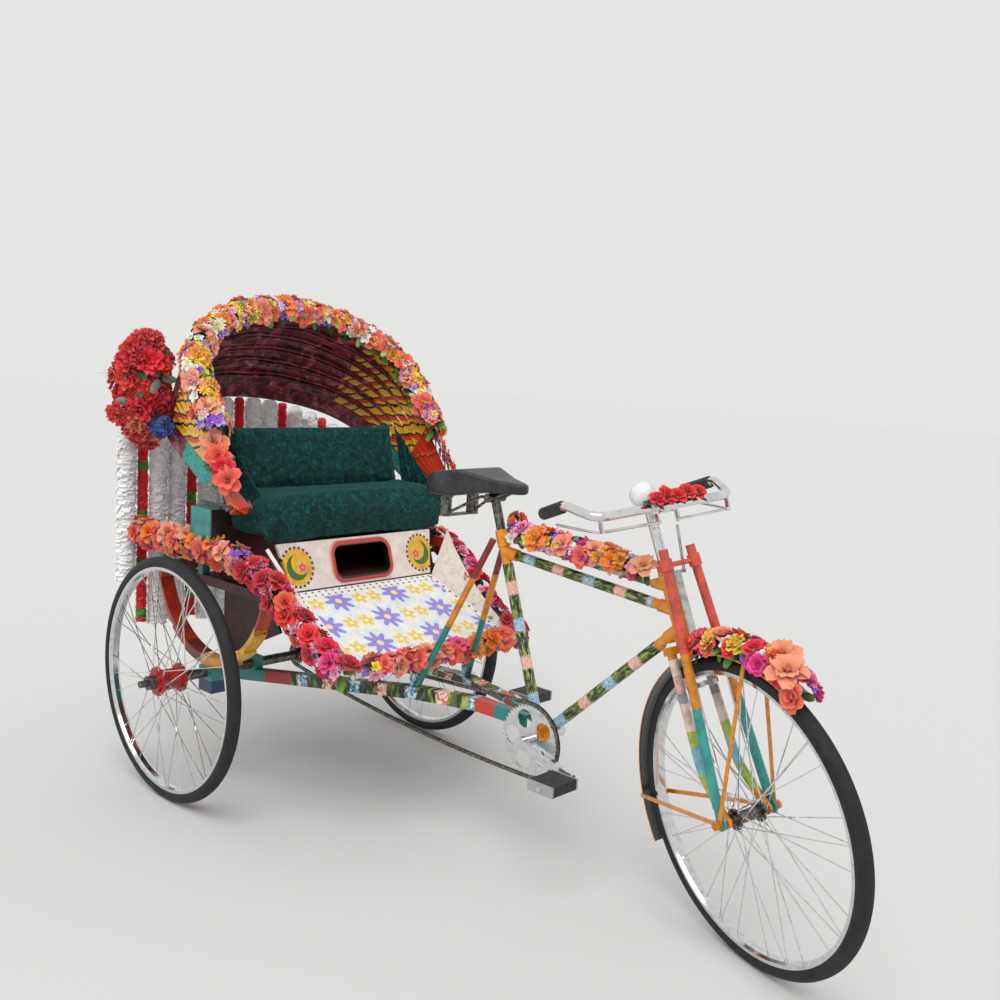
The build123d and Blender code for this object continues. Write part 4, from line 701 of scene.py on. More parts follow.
on_hatch = add(tree, "Math LESS_THAN", (from_hatch, 0.92))
line = add(tree, "Math LESS_THAN", (z, 0.6325))
colour = add(tree, "MixRGB", {"Fac": face, "Color1": ground, "Color2": yellow})
for mask, over in ((rim, "#6B2F1C"), (crescent, "#3E6B2A"), (bud, bud_tone), (on_hatch, hatch_shade_and_mould),
                   (line, "#1C1716")):
    colour = add(tree, "MixRGB", {"Fac": mask, "Color1": colour, "Color2": over})
wire(shader, Base_Color=colour)
dress(panel_paint, "seat_panel")

# Footboard print: violet flowers 212 mm apart in staggered rows, with two yellow ones between
PRINT_AHEAD, PRINT_ACROSS = 0.190, 0.212
print_sheet, tree, shader = finish_named("printed_floor_sheet", "#F1EFEC", 0.45, Coat_Weight=0.2)
where, x, y, z = board_places(tree)
ahead = add(tree, "Math SUBTRACT", (x, 0.266))
scuff = add(tree, "TexNoise", {"Vector": where, "Scale": 22.0, "Detail": 6.0, "Roughness": 0.7})
colour = add(tree, "ValToRGB", {"Fac": scuff},
             stops=((0.3, "#DDD6CC"), (0.48, "#F1EEE9"), (0.7, "#F7F5F2")))
VIOLET = (8, 0.068, 0.048, "#DCE9F6", "#9A8ADB", "#F6E3A0")
YELLOW = (5, 0.030, 0.026, "#F8F2CE", "#EDD25E", "#F9F7EC")
PRINTS = (
    # shift ahead and sideways in steps, then petals, halo and petal radius, halo, petal and eye colours
    (0.0, 0.0, *VIOLET), (0.5, 0.5, *VIOLET), (0.0, 0.37, *YELLOW), (0.0, 0.63, *YELLOW),
    (0.5, 0.87, *YELLOW), (0.5, 0.13, *YELLOW),
)
for shift_x, shift_y, petals, halo_r, petal_r, halo, petal, eye in PRINTS:
    cell = []
    for place, shift, pitch in ((ahead, shift_x, PRINT_AHEAD), (y, shift_y, PRINT_ACROSS)):
        step = add(tree, "Math MULTIPLY_ADD", (place, 1 / pitch, shift + 10.2))
        step = add(tree, "Math FRACT", (step,))
        cell.append(add(tree, "Math MULTIPLY", (step, pitch)))
    middles = (PRINT_AHEAD / 2, PRINT_ACROSS / 2)
    soft, far = petalled(tree, cell[0], cell[1], *middles, petals, halo_r)
    flower, far = petalled(tree, cell[0], cell[1], *middles, petals, petal_r)
    middle = add(tree, "Math LESS_THAN", (far, 0.22 * petal_r))
    for mask, over in ((soft, halo), (flower, petal), (middle, eye)):
        colour = add(tree, "MixRGB", {"Fac": mask, "Color1": colour, "Color2": over})
sideways = add(tree, "Math ABSOLUTE", (y,))
edge = add(tree, "Math MULTIPLY_ADD", (ahead, 0.042 / 0.337, 0.266 - 0.020))
from_edge = add(tree, "Math SUBTRACT", (sideways, edge))
trim = add(tree, "Math GREATER_THAN", (from_edge, 0.0))
rear = add(tree, "Math LESS_THAN", (ahead, 0.030))
stud_x = add(tree, "Math FLOORED_MODULO", (ahead, 0.026))
side_stud = add(tree, "Math LESS_THAN", (away(tree, stud_x, from_edge, 0.013, 0.010)[0], 0.0045))
stud_y = add(tree, "Math FLOORED_MODULO", (y, 0.024))
row_x = add(tree, "Math FLOORED_MODULO", (ahead, 0.015))
rear_stud = add(tree, "Math LESS_THAN", (away(tree, row_x, stud_y, 0.0075, 0.012)[0], 0.0035))
side_stud = add(tree, "Math MULTIPLY", (side_stud, trim))
rear_stud = add(tree, "Math MULTIPLY", (rear_stud, rear))
for mask, over in ((trim, "#EDEAE6"), (rear, "#EFEDEA"), (side_stud, "#1A1817"), (rear_stud, "#1A1817")):
    colour = add(tree, "MixRGB", {"Fac": mask, "Color1": colour, "Color2": over})
wire(shader, Base_Color=colour)
dress(print_sheet, "footboard")


# Seat
# A deep cushion and a leaning backrest of foam on board, both covered in dark green crushed velvet,
# with a short cloth in upright folds closing each end of the backrest.
# Velvet pressed while damp: dark green, with a cold sheen where the pile lies over
crushed_velvet, tree, shader = finish_named(
    "crushed_velvet", "#0C4A45", 0.8, Sheen_Weight=0.28, Sheen_Roughness=0.4, Specular_IOR_Level=0.2)
shader.inputs["Sheen Tint"].default_value = linear("#7FD8CC")
where = add(tree, "TexCoord", out="Object")
# Patches of pile pressed different ways, 15 to 40 mm across, with creases between them. Their light and dark
# tones are painted sheen and painted shade, darkest in the creases' hollows
bent = add(tree, "TexNoise", {"Vector": where, "Scale": 22.0, "Detail": 3.0}, out="Color")
shift = add(tree, "MixRGB", {"Fac": 0.09, "Color1": where, "Color2": bent})
crush_and_sheen = add(tree, "TexNoise",
            {"Vector": shift, "Scale": 62.0, "Detail": 7.0, "Roughness": 0.74, "Distortion": 0.5})
# Light patches are painted sheen, dark ones painted shade
tone = add(tree, "ValToRGB", {"Fac": crush_and_sheen},
           stops=((0.34, "#011615"), (0.46, "#062B29"), (0.57, "#0B4542"), (0.72, "#1E746E")))
wire(shader, Base_Color=tone)
pile = add(tree, "TexNoise", {"Vector": where, "Scale": 700.0, "Detail": 2.0})
folds = add(tree, "Math MULTIPLY_ADD", (crush_and_sheen, 3.0, pile))
bump = add(tree, "Bump", {"Height": folds, "Strength": 0.5, "Distance": 0.003})
wire(shader, Normal=bump)


SEAT_VOXEL, PRESSURE, SETTLING = 7.0, 4.0, 20


def stuffed(node, name, start, swell, sink=0.0):
    """A padded cover blown up by cloth simulation from a slightly smaller copy of its CAD solid.

    Its lower half is let down by sink millimetres, onto the piece that it presses on.
    """
    pad = copy_of(node, name)
    low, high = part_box(node)
    middle = (low + high) / 2
    size = high - low
    shrink = Vector([1 - 2 * start * MM / s for s in size])
    for v in pad.data.vertices:
        v.co = middle + Vector([(v.co[k] - middle[k]) * shrink[k] for k in range(3)])
        if v.co.z < middle.z:
            v.co.z -= sink * MM
    remesh = pad.modifiers.new("remesh", "REMESH")
    remesh.mode = "VOXEL"
    remesh.voxel_size = SEAT_VOXEL * MM
    bake_modifiers(pad)
    rest = np.empty(len(pad.data.vertices) * 3, np.float32)
    pad.data.vertices.foreach_get("co", rest)
    cloth = pad.modifiers.new("cloth", "CLOTH")
    cloth.settings.use_pressure = True
    cloth.settings.uniform_pressure_force = PRESSURE
    cloth.settings.effector_weights.gravity = 0.0
    cloth.settings.quality = 5
    for frame_number in range(1, SETTLING + 1):
        bpy.context.scene.frame_set(frame_number)
    bake_modifiers(pad)
    bpy.context.scene.frame_set(1)
    moved = np.empty(len(pad.data.vertices) * 3, np.float32)
    pad.data.vertices.foreach_get("co", moved)
    change = (moved - rest).reshape(-1, 3)
    far = np.linalg.norm(change, axis=1, keepdims=True)
    change *= np.minimum(1.0, swell * MM / np.maximum(far, 1e-9))
    pad.data.vertices.foreach_set("co", (rest.reshape(-1, 3) + change).ravel())
    smooth = pad.modifiers.new("subdivision", "SUBSURF")
    smooth.levels = smooth.render_levels = 1
    bake_modifiers(pad)
    pad.data.polygons.foreach_set("use_smooth", np.ones(len(pad.data.polygons), bool))
    pad.data.materials.append(crushed_velvet)
    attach(pad, "root")
    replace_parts(pad, node)


stuffed("cushion", "velvet_cushion", 1.5, 12.0)
stuffed("backrest", "velvet_backrest", 1.0, 11.0, 14.0)

# End cloths in upright folds, pinned along the backrest's end and spread over the cushion's end
CLOTH_FOLDS, FOLD_DEEP, CLOTH_PLACE = 6, 5.5, 330.5
ROWS, COLUMNS = 16, 72
for side, word in ((-1, "right"), (1, "left")):
    low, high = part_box("side_cloths")
    rear_top, rear_low = (low.x, high.z), (low.x + 0.054, low.z)
    front_top, front_low = (high.x - 0.060, low.z + 0.054), (high.x, low.z)
    points = []
    for i in range(ROWS + 1):
        v = i / ROWS
        for j in range(COLUMNS + 1):
            u = j / COLUMNS
            x, z = ((rear_top[k] * (1 - u) + front_top[k] * u) * (1 - v)
                    + (rear_low[k] * (1 - u) + front_low[k] * u) * v for k in (0, 1))
            wave = math.sin(2 * math.pi * CLOTH_FOLDS * u + 0.7 * math.sin(5 * v))
            points.append((x, side * (CLOTH_PLACE + FOLD_DEEP * wave * (0.35 + 0.65 * v)) * MM, z))
    faces, corners = grid(ROWS + 1, COLUMNS + 1)
    uvs = [(j / COLUMNS, i / ROWS) for quad in corners for i, j in quad]
    drape = surface("side_cloth_" + word, points, faces, uvs, crushed_velvet, "root")
    # The width is worked back from the finished mesh too, and isn't a real cut
    drop = high.z - low.z
    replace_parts(drape, "side_cloths")


# Hood
# Six hoops of painted bamboo slat turn on one bolt at each side. A maroon waxed cloth is nailed over
# them, and with the hood folded it is tucked in between the slats. The drawn tucks hold less cloth than
# the open hood would need.
PIVOT = Vector(next(j["pos_m"] for j in frame["joints"] if j["name"] == "hood_fold_1"))
RIBS, REAR_ANGLE, RIB_STEP = 6, 30.0, 4.6
RIB_HALF, RIB_OUT, HOOP_TOP = 384.0, 8.5, 682.0
RIB_WIDE, CORNER_R, CROWN_R = 26.0, 250.0, 520.0
CLOTH_FOOT = 440.0
FOLD_FOOT = 345.0        # below this the slats lie side by side with no cloth between


def hoop_line(half, top, foot, step):
    """Rows along a hoop from foot to foot: place sideways, height over the pivots, outward direction."""
    swing = math.acos(-(half - CORNER_R) / (CROWN_R - CORNER_R))
    corner_h = top - CROWN_R + (CROWN_R - CORNER_R) * math.sin(swing)
    leg = max(0.0, corner_h - foot)
    count = math.ceil(leg / step)
    rows = [(-half, foot + leg * k / count, -1.0, 0.0) for k in range(count)]
    for radius, y, h, start, end in ((CORNER_R, CORNER_R - half, corner_h, math.pi, swing),
                                     (CROWN_R, 0.0, top - CROWN_R, swing, math.pi / 2)):
        count = max(2, round(radius * abs(end - start) / step))
        for k in range(count):
            a = start + (end - start) * k / count
            rows.append((y + radius * math.cos(a), h + radius * math.sin(a), math.cos(a), math.sin(a)))
    rows = [row for row in rows if row[1] >= foot]
    return rows + [(0.0, top, 0.0, 1.0)] + [(-y, h, -ny, nh) for y, h, ny, nh in rows[::-1]]


def in_hood(angle, y, h, ahead=0.0):
    """A place in the plane of a hoop at an angle above the level behind the pivots, in millimetres."""
    t = math.radians(angle)
    return PIVOT + Vector((math.sin(t) * ahead - math.cos(t) * h, y,
                           math.cos(t) * ahead + math.sin(t) * h)) * MM


# Waxed cotton, maroon, half glossy, with painted shade in the hollows of its folds and painted highlight on
# their ridges
waxed_cloth, tree, shader = finish_named("waxed_maroon_cloth", "#5A0F1C", 0.36, Coat_Weight=0.25,
                                         Coat_Roughness=0.3)
where = add(tree, "TexCoord", out="Object")
crease = add(tree, "TexNoise", {"Vector": where, "Scale": 24.0, "Detail": 5.0, "Distortion": 1.2})
# Darkest in the folds' hollows and palest on their ridges: painted shade and painted highlight
tone = add(tree, "ValToRGB", {"Fac": crease},
           stops=((0.34, "#2A070F"), (0.46, "#5E1222"), (0.58, "#7E2034"), (0.70, "#A45A68")))
# Sharp creases 50 to 90 mm apart, drawn as thin pale lines of painted highlight along the ridges
bend = add(tree, "TexNoise", {"Vector": where, "Scale": 6.0}, out="Color")
bent = add(tree, "MixRGB", {"Fac": 0.12, "Color1": where, "Color2": bend})
drawn = add(tree, "Mapping", {"Vector": bent, "Scale": (1.0, 0.38, 1.0), "Rotation": (0.3, 0.2, 0.15)})
crease_lines = add(tree, "TexVoronoi", {"Vector": drawn, "Scale": 17.0}, out="Distance",
             feature="DISTANCE_TO_EDGE")
ridge_share = add(tree, "MapRange", {"Value": crease, "From Min": 0.42, "From Max": 0.62, "To Max": 0.45})
line = add(tree, "ValToRGB", {"Fac": crease_lines}, stops=((0.0, "#FFFFFF"), (0.03, "#000000")))
ridge_highlight = add(tree, "Math MULTIPLY", (line, ridge_share))
cloth_with_painted_light = add(tree, "MixRGB", {"Fac": ridge_highlight, "Color1": tone, "Color2": "#D9A9AE"})
wire(shader, Base_Color=cloth_with_painted_light)
folds = add(tree, "Math MULTIPLY_ADD", (crease, 1.5, crease_lines))
bump = add(tree, "Bump", {"Height": folds, "Strength": 0.6, "Distance": 0.006})
wire(shader, Normal=bump)

# Woven cotton tape, matt, its dye uneven
edge_band, tree, shader = mottled(
    "teal_cotton_binding", "#2A9C92", 0.7, 160.0, 4.0, ((0.35, "#1F7F77"), (0.65, "#37B0A5")),
    Sheen_Weight=0.2)

# Bamboo slats in gloss enamel: mustard with black and red strokes 96 mm apart, plain red near the bolts
slat_paint, tree, shader = finish_named("painted_bamboo_slat", "#E3A51C", 0.32, Coat_Weight=0.4,
                                        Coat_Roughness=0.2)
STROKE_STEP = 0.096
mean_lean = math.radians(REAR_ANGLE + (RIBS - 1) * RIB_STEP / 2)
where = add(tree, "TexCoord", out="Object")
from_bolt = add(tree, "VectorMath SUBTRACT", (where, (PIVOT.x, 0.0, PIVOT.z)))
up_slat = (-math.cos(mean_lean), 0, math.sin(mean_lean))
off_slat = (math.sin(mean_lean), 0, math.cos(mean_lean))
height = add(tree, "VectorMath DOT_PRODUCT", (from_bolt, up_slat), out="Value")
lean = add(tree, "VectorMath DOT_PRODUCT", (from_bolt, off_slat), out="Value")
sideways = add(tree, "Math ABSOLUTE", (add(tree, "SeparateXYZ", (from_bolt,), out="Y"),))
run = add(tree, "Math SUBTRACT", (height, sideways))
hand = add(tree, "TexNoise", {"Vector": where, "Scale": 26.0, "Detail": 3.0})
slanted = add(tree, "Math MULTIPLY_ADD", (lean, 1.25, run))
slanted = add(tree, "Math MULTIPLY_ADD", (hand, 0.05, slanted))
stroke = add(tree, "Math MULTIPLY", (slanted, 1 / STROKE_STEP))
stroke = add(tree, "Math FRACT", (stroke,))
SLAT_STROKES = ((0.0, "#E8AE1F"), (0.30, "#16110E"), (0.42, "#E8AE1F"), (0.62, "#D2431F"), (0.80, "#16110E"),
                (0.88, "#F0C040"))
strokes = add(tree, "ValToRGB", {"Fac": stroke}, stops=SLAT_STROKES, sharp=True)
near_bolt = add(tree, "MapRange", {"Value": run, "From Min": -0.40, "From Max": 0.20})
red_part = add(tree, "ValToRGB", {"Fac": near_bolt}, stops=((0.0, "#FFFFFF"), (0.36, "#000000")),
               sharp=True)
lined = add(tree, "ValToRGB", {"Fac": stroke},
            stops=((0.0, "#C8371D"), (0.82, "#7D1E14"), (0.9, "#DB6A22")), sharp=True)
painted_slat = add(tree, "MixRGB", {"Fac": red_part, "Color1": strokes, "Color2": lined})
wire(shader, Base_Color=painted_slat)
dress(slat_paint, *("hood_rib_%d" % n for n in range(RIBS)))

CLOTH_T = 1.2


rng = np.random.default_rng(11)


def cloth_strip(name, half, section, foot=CLOTH_FOOT, step=14.0):
    """Cloth along a hoop. section(row) gives, across it, the angle, how far out it lies and how far ahead."""
    points = []
    rows = hoop_line(half, HOOP_TOP, foot, step)
    for i, (y, h, ny, nh) in enumerate(rows):
        across = section(i / (len(rows) - 1), h)
        for lift in (CLOTH_T, 0.0):
            line = across if lift else across[::-1]
            for angle, out, ahead in line:
                points.append(in_hood(angle, y + ny * (out + lift), h + nh * (out + lift), ahead))
    columns = 2 * len(across)
    faces, corners = grid(len(rows), columns, False, True)
    uvs = [(i * step * MM, j * 3 * MM) for quad in corners for i, j in quad]
    return surface(name, points, faces, uvs, waxed_cloth, None)


for n in range(RIBS):
    angle = REAR_ANGLE + n * RIB_STEP
    reach = RIB_WIDE / 2 + 1.0

    def over(share, h, angle=angle, reach=reach):
        return [(angle, 0.6 + 1.5 * math.cos(k * math.pi / 6), reach * k / 3) for k in range(-3, 4)]

    strip = cloth_strip("cover_on_slat_%d" % n, RIB_HALF + n * RIB_OUT, over)
    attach(strip, "hood_%d" % n if n else "root")

# Over the crown the cloth is rolled right round each slat and tied down with twine
ROLL_HALF, ROLL_POINTS, ROLL_STEP = 315.0, 18, 9.0
for n in range(RIBS):
    angle = REAR_ANGLE + n * RIB_STEP
    rows = [row for row in hoop_line(RIB_HALF + n * RIB_OUT, HOOP_TOP, 300,
                                     ROLL_STEP) if abs(row[0]) < ROLL_HALF]
    waves = rng.uniform(0, 2 * math.pi, 6)
    points = []
    for i, (y, h, ny, nh) in enumerate(rows):
        taper = min(1.0, 0.55 + i / 10, 0.55 + (len(rows) - 1 - i) / 10)
        for j in range(ROLL_POINTS):
            a = 2 * math.pi * j / ROLL_POINTS
            lump = sum(math.sin(i * ROLL_STEP / pitch + k * a + w)
                       for (pitch, k), w in zip(((38, 2), (61, 3), (23, 1), (90, 4)), waves)) / 4
            out = -3.5 + (10.5 + 6.0 * lump * taper) * math.sin(a)
            ahead = (18.0 + 4.5 * lump * taper) * math.cos(a)
            points.append(in_hood(angle, y + ny * out, h + nh * out, ahead))
    faces, corners = grid(len(rows), ROLL_POINTS, False, True)
    uvs = [(i * ROLL_STEP * MM, j * 5 * MM) for quad in corners for i, j in quad]
    roll = surface("rolled_cover_%d" % n, points, faces, uvs, waxed_cloth, "hood_%d" % n if n else "root")

# The cover's rear edge hangs down behind the fixed slat, its lower ends bound in teal
COVER_WIDE, COVER_FOOT, BINDING_TOP = 62.0, 190.0, 335.0


def rear_edge(share, h):
    droop = 3.0 * math.sin(60 * share) + 2.0 * math.sin(131 * share)
    return [(REAR_ANGLE, -3.0 + droop * math.sin(math.pi * k / 5), -RIB_WIDE / 2 - 1 - COVER_WIDE * k / 5)
            for k in range(6)]


piece = cloth_strip("rear_cover_cloth", RIB_HALF, rear_edge, COVER_FOOT)
piece.data.materials.append(edge_band)
for face in piece.data.polygons:
    from_bolt = face.center - PIVOT
    t = math.radians(REAR_ANGLE)
    if from_bolt.z * math.sin(t) - from_bolt.x * math.cos(t) < BINDING_TOP * MM:
        face.material_index = 1
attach(piece, "root")
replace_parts(piece, "rear_cover")

TUCK = 22.0             # how deep a fold is tucked in between two slats
FOLD_SHARES = [0, .1, .2, .28, .34, .38, .42, .46, .5, .54, .58, .62, .66, .72, .8, .9, 1]
for n in range(1, RIBS):
    behind = REAR_ANGLE + (n - 1) * RIB_STEP
    waves = rng.uniform(0, 2 * math.pi, 4)
    sizes = rng.uniform(0.6, 1.0, 4)

    def folded(share, h, behind=behind, waves=waves, sizes=sizes):
        taper = min(1.0, 6 * share, 6 * (1 - share)) ** 0.5
        swell = sum(s * math.sin(share * 2 * math.pi * k + w) for k,
                    (w, s) in enumerate(zip(waves, sizes), 3)) / 4
        made = []
        for s in FOLD_SHARES:
            gap = math.degrees(RIB_WIDE / 2 / h)
            at_angle = behind + gap + (RIB_STEP - 2 * gap) * s
            bow = abs(math.sin(2 * math.pi * s + 0.6 * swell * s * (1 - s)))
            tuck = -TUCK * taper * (1 + 0.4 * swell) * bow
            made.append((at_angle, 1.0 + tuck, 0.0))
        return made

    piece = cloth_strip("folded_cover_%d" % n, RIB_HALF + (n - 0.5) * RIB_OUT, folded, FOLD_FOOT)
    middle = behind + RIB_STEP / 2
    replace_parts(piece, "hood_pleat_%d" % n)
    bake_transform(piece)


# Flowers
# Cloth roses, blossoms, carnations and leaves of dyed polyester, pressed to shape and wired side by
# side on green florist's tape, tied round the hood, the body's edges, the frame and the mudguard.
# Dyed polyester, matt with a soft sheen, paler at the petals' edges, and with painted shade darkening each
# petal towards its base
dyed_petal, tree, shader = finish_named("dyed_polyester_petal", "#E8604C", 0.62, Sheen_Weight=0.25,
                                        Specular_IOR_Level=0.3)
dye = add(tree, "Attribute", out="Color", attribute_name="dye")
along = add(tree, "SeparateXYZ", (add(tree, "TexCoord", out="UV"),), out="Y")
# Darker towards each petal's base: painted shade of the flower's middle
shade = add(tree, "ValToRGB", {"Fac": along}, stops=((0.0, "#C2C2C2"), (0.35, "#F0F0F0"), (1.0, "#FFFFFF")))
dye_with_painted_shade = add(tree, "MixRGB", {"Fac": 1.0, "Color1": dye, "Color2": shade}, blend_type="MULTIPLY")
pale = add(tree, "ValToRGB", {"Fac": along}, stops=((0.55, "#000000"), (1.0, "#484848")))
edged = add(tree, "MixRGB", {"Fac": pale, "Color1": dye_with_painted_shade, "Color2": "#FFF0E0"})
wire(shader, Base_Color=edged)
threads = add(tree, "TexNoise",
              {"Vector": add(tree, "TexCoord", out="Object"), "Scale": 380.0, "Detail": 2.0})
bump = add(tree, "Bump", {"Height": threads, "Strength": 0.25, "Distance": 0.0006})
wire(shader, Normal=bump)

DYES = {
    "coral": "#FF6A50", "peach": "#FF9E78", "orange": "#FF861C", "amber": "#FFB02E", "yellow": "#FFE036",
    "red": "#E8202F", "crimson": "#C9152F", "magenta": "#EC3C8C", "pink": "#FF9FBC", "violet": "#8E55D8",
    "lilac": "#C7A0EC", "white": "#FFFFFF", "leaf": "#5C9434", "dark_leaf": "#26562B", "pale_leaf": "#B9DC84",
    "grey_leaf": "#8FA08C", "navy": "#1E3F9A",
}
BLOOMS = {
    # petals, length, half-width, start, rise and further rise in degrees, cup, ruffle
    "rose": ((6, .78, .43, .16, 26, -34, .30, .03), (6, .66, .38, .10, 42, -16, .38, .02),
             (5, .50, .30, .06, 62, 6, .42, 0), (4, .38, .20, .03, 78, 12, .5, 0)),
    "lily": ((5, .98, .46, .10, 24, -40, .22, .10), (5, .74, .34, .08, 44, -20, .30, .08),
             (4, .42, .22, .04, 66, 8, .4, .04)),
    "blossom": ((5, .86, .36, .07, 20, -14, .22, .02), (5, .24, .09, .02, 68, 0, 0, 0)),
    "carnation": ((8, .80, .28, .10, 14, 4, .1, .10), (7, .68, .26, .08, 36, 8, .1, .10),
                  (6, .52, .22, .05, 58, 8, .1, .10), (5, .36, .16, .02, 76, 0, .1, .08)),
    "ruffled": ((6, .95, .40, .08, 16, 6, .12, .16), (6, .78, .34, .06, 36, 10, .15, .16),
                (5, .52, .24, .04, 60, 10, .2, .12)),
    "daisy": ((9, .88, .17, .08, 14, -8, .1, 0), (6, .2, .1, .02, 60, 0, 0, 0)),
    "leaves": ((3, 1.25, .34, .15, 2, -16, -.3, 0),),
}
PETAL_ACROSS, PETAL_ALONG = 3, 4


def bloom(rings):
    """A cloth flower of radius 1 that faces +Z: points, faces and uv pairs of its petals."""
    points, faces, uvs = [], [], []
    for number, (petals, length, half, start, rise, more, cup, ruffle) in enumerate(rings):
        across = PETAL_ACROSS if half > 0.12 else 1
        along = PETAL_ALONG if length > 0.3 else 2
        for p in range(petals):
            turn = 2 * math.pi * (p + 0.5 * number) / petals
            cos_t, sin_t = math.cos(turn), math.sin(turn)
            base = len(points)
            r, z = start, 0.0
            for i in range(along + 1):
                v = i / along
                e = math.radians(rise + more * v)
                if i:
                    r += length / along * math.cos(e)
                    z += length / along * math.sin(e)
                w = half * math.sin(math.pi * (0.13 + 0.75 * v)) ** 0.75
                for j in range(across + 1):
                    u = 2 * j / across - 1
                    lift = cup * u * u * w + ruffle * v * math.sin(4 * u + 2.1 * p)
                    x, y = r - math.sin(e) * lift, u * w
                    points.append((x * cos_t - y * sin_t, x * sin_t + y * cos_t, z + math.cos(e) * lift))
            quads, corners = grid(along + 1, across + 1)
            faces += [[base + q for q in quad] for quad in quads]
            uvs += [(number / len(rings), i / along) for quad in corners for i, j in quad]
    return np.array(points, np.float32), np.array(faces, np.int32), np.array(uvs, np.float32)


TEMPLATES = {kind: bloom(rings) for kind, rings in BLOOMS.items()}


def bouquet_of(name, spots, body, rng):
    """Joins flowers into one piece. A spot is a kind, a place, the way it faces, a radius in mm and a dye."""
    points, faces, uvs, dyes = [], [], [], []
    total = 0
    for kind, place, facing, radius, dye_name in spots:
        shape, quads, pairs = TEMPLATES[kind]
        facing = Vector(facing).normalized()
        spin = Matrix.Rotation(rng.uniform(0, 2 * math.pi), 3, "Z")
        tilt = facing.to_track_quat("Z", "Y").to_matrix()
        turn = np.array(tilt @ spin, np.float32)
        squeeze = rng.uniform(0.85, 1.15, 3) * radius * MM
        points.append((shape * squeeze.astype(np.float32)) @ turn.T + np.array(place, np.float32))
        faces.append(quads + total)
        uvs.append(pairs)
        colour = np.array(linear(DYES[dye_name]), np.float32)
        colour[:3] *= rng.uniform(0.90, 1.12)
        colour[:3] = np.clip(colour[:3] + rng.uniform(-0.02, 0.02, 3), 0.005, 0.93)
        dyes.append(np.tile(colour, (len(shape), 1)))
        total += len(shape)
    made = surface(name, np.concatenate(points), np.concatenate(faces), np.concatenate(uvs), dyed_petal,
                   body)
    layer = made.data.attributes.new("dye", "FLOAT_COLOR", "POINT")
    layer.data.foreach_set("color", np.concatenate(dyes).ravel())
    return made


def along_line(points, share):
    """The place at a share of a line's length, and the number of the run that holds it with its own share."""
    steps = [(b - a).length for a, b in zip(points, points[1:])]
    left = share * sum(steps)
    for k, step in enumerate(steps):
        if left <= step or k == len(steps) - 1:
            return points[k].lerp(points[k + 1], min(1.0, left / step)), k, min(1.0, left / step)
        left -= step


GOLDEN = 0.6180339887


def garland_spots(points, outs, mix, rng, spread=80.0, core=8.0):
    """Flowers set all round the outer side of a line, layer on layer."""
    points, outs = [Vector(p) for p in points], [Vector(o).normalized() for o in outs]
    length = sum((b - a).length for a, b in zip(points, points[1:]))
    spots = []
    for per_metre, kind, radius, height, dyes in mix:
        count = max(1, round(per_metre * length))
        for k in range(count):
            share = (k + rng.uniform(0.15, 0.85)) / count
            place, run, within = along_line(points, share)
            out = outs[run].lerp(outs[run + 1], within).normalized()
            way = (points[run + 1] - points[run]).normalized()
            cross = way.cross(out).normalized()
            angle = math.radians(spread * (2 * ((k * GOLDEN + rng.uniform(-0.06, 0.06)) % 1.0) - 1))
            facing = out * math.cos(angle) + cross * math.sin(angle) + way * rng.uniform(-0.35, 0.35)
            facing.normalize()
            stem = (core + height) * MM
            size = radius * rng.uniform(0.82, 1.15)
            spots.append((kind, place + facing * stem, facing, size, dyes[int(rng.integers(len(dyes)))]))
    return spots


RICH_MIX = (
    # flowers to the metre, kind, radius, height over the tape, dyes
    (46, "leaves", 34, 2, ("dark_leaf", "leaf")),
    (190, "blossom", 21, 30,
     ("violet", "lilac", "white", "yellow", "pink", "amber", "yellow", "white", "coral")),
    (80, "daisy", 18, 34, ("violet", "white", "yellow", "yellow", "pink")),
    (28, "lily", 37, 26, ("coral", "peach", "coral", "orange", "peach")),
    (26, "carnation", 24, 28, ("orange", "amber", "pink", "peach")),
    (22, "leaves", 26, 32, ("pale_leaf", "leaf", "pale_leaf")),
)
rng = np.random.default_rng(7)
front_angle = REAR_ANGLE + (RIBS - 1) * RIB_STEP
AHEAD_OF_RIB = 46.0
rows = hoop_line(RIB_HALF + (RIBS - 1) * RIB_OUT - 12, HOOP_TOP - 12, 215, 25)
line = [in_hood(front_angle, y, h, AHEAD_OF_RIB) for y, h, ny, nh in rows]
outs = [in_hood(front_angle, y + ny, h + nh, AHEAD_OF_RIB + 0.8) - in_hood(front_angle, y, h, AHEAD_OF_RIB)
        for y, h, ny, nh in rows]
spots = garland_spots(line, outs, RICH_MIX, rng, 112.0, 8.0)
# A few single blooms are wired lower down, beside the bolts
for side in (-1, 1):
    for h, dye_name in ((190, "peach"), (150, "coral"), (112, "red"), (70, "coral")):
        place = in_hood(front_angle, side * (RIB_HALF + 45), h, 34)
        spots.append(("lily", place, Vector((0.8, side * 0.9, 0.3)), 40, dye_name))
        spots.append(("leaves", place - Vector((0.008, 0, 0)), Vector((0.8, side * 0.9, 0.3)), 34,
                      "dark_leaf"))
hood_flowers = bouquet_of("hood_garland_flowers", spots, "hood_5", rng)
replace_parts(hood_flowers, "hood_garland")


def rounded_line(knots, steps=8):
    """A smooth line through given knots in millimetres."""
    knots = [at(*k) for k in knots]
    knots = [knots[0] * 2 - knots[1]] + knots + [knots[-1] * 2 - knots[-2]]
    line = []
    for a, b, c, d in zip(knots, knots[1:], knots[2:], knots[3:]):
        for k in range(steps):
            t = k / steps
            line.append(((b * 2) + (c - a) * t + (a * 2 - b * 5 + c * 4 - d) * t ** 2
                         + (b * 3 - a - c * 3 + d) * t ** 3) / 2)
    return line + [knots[-2]]


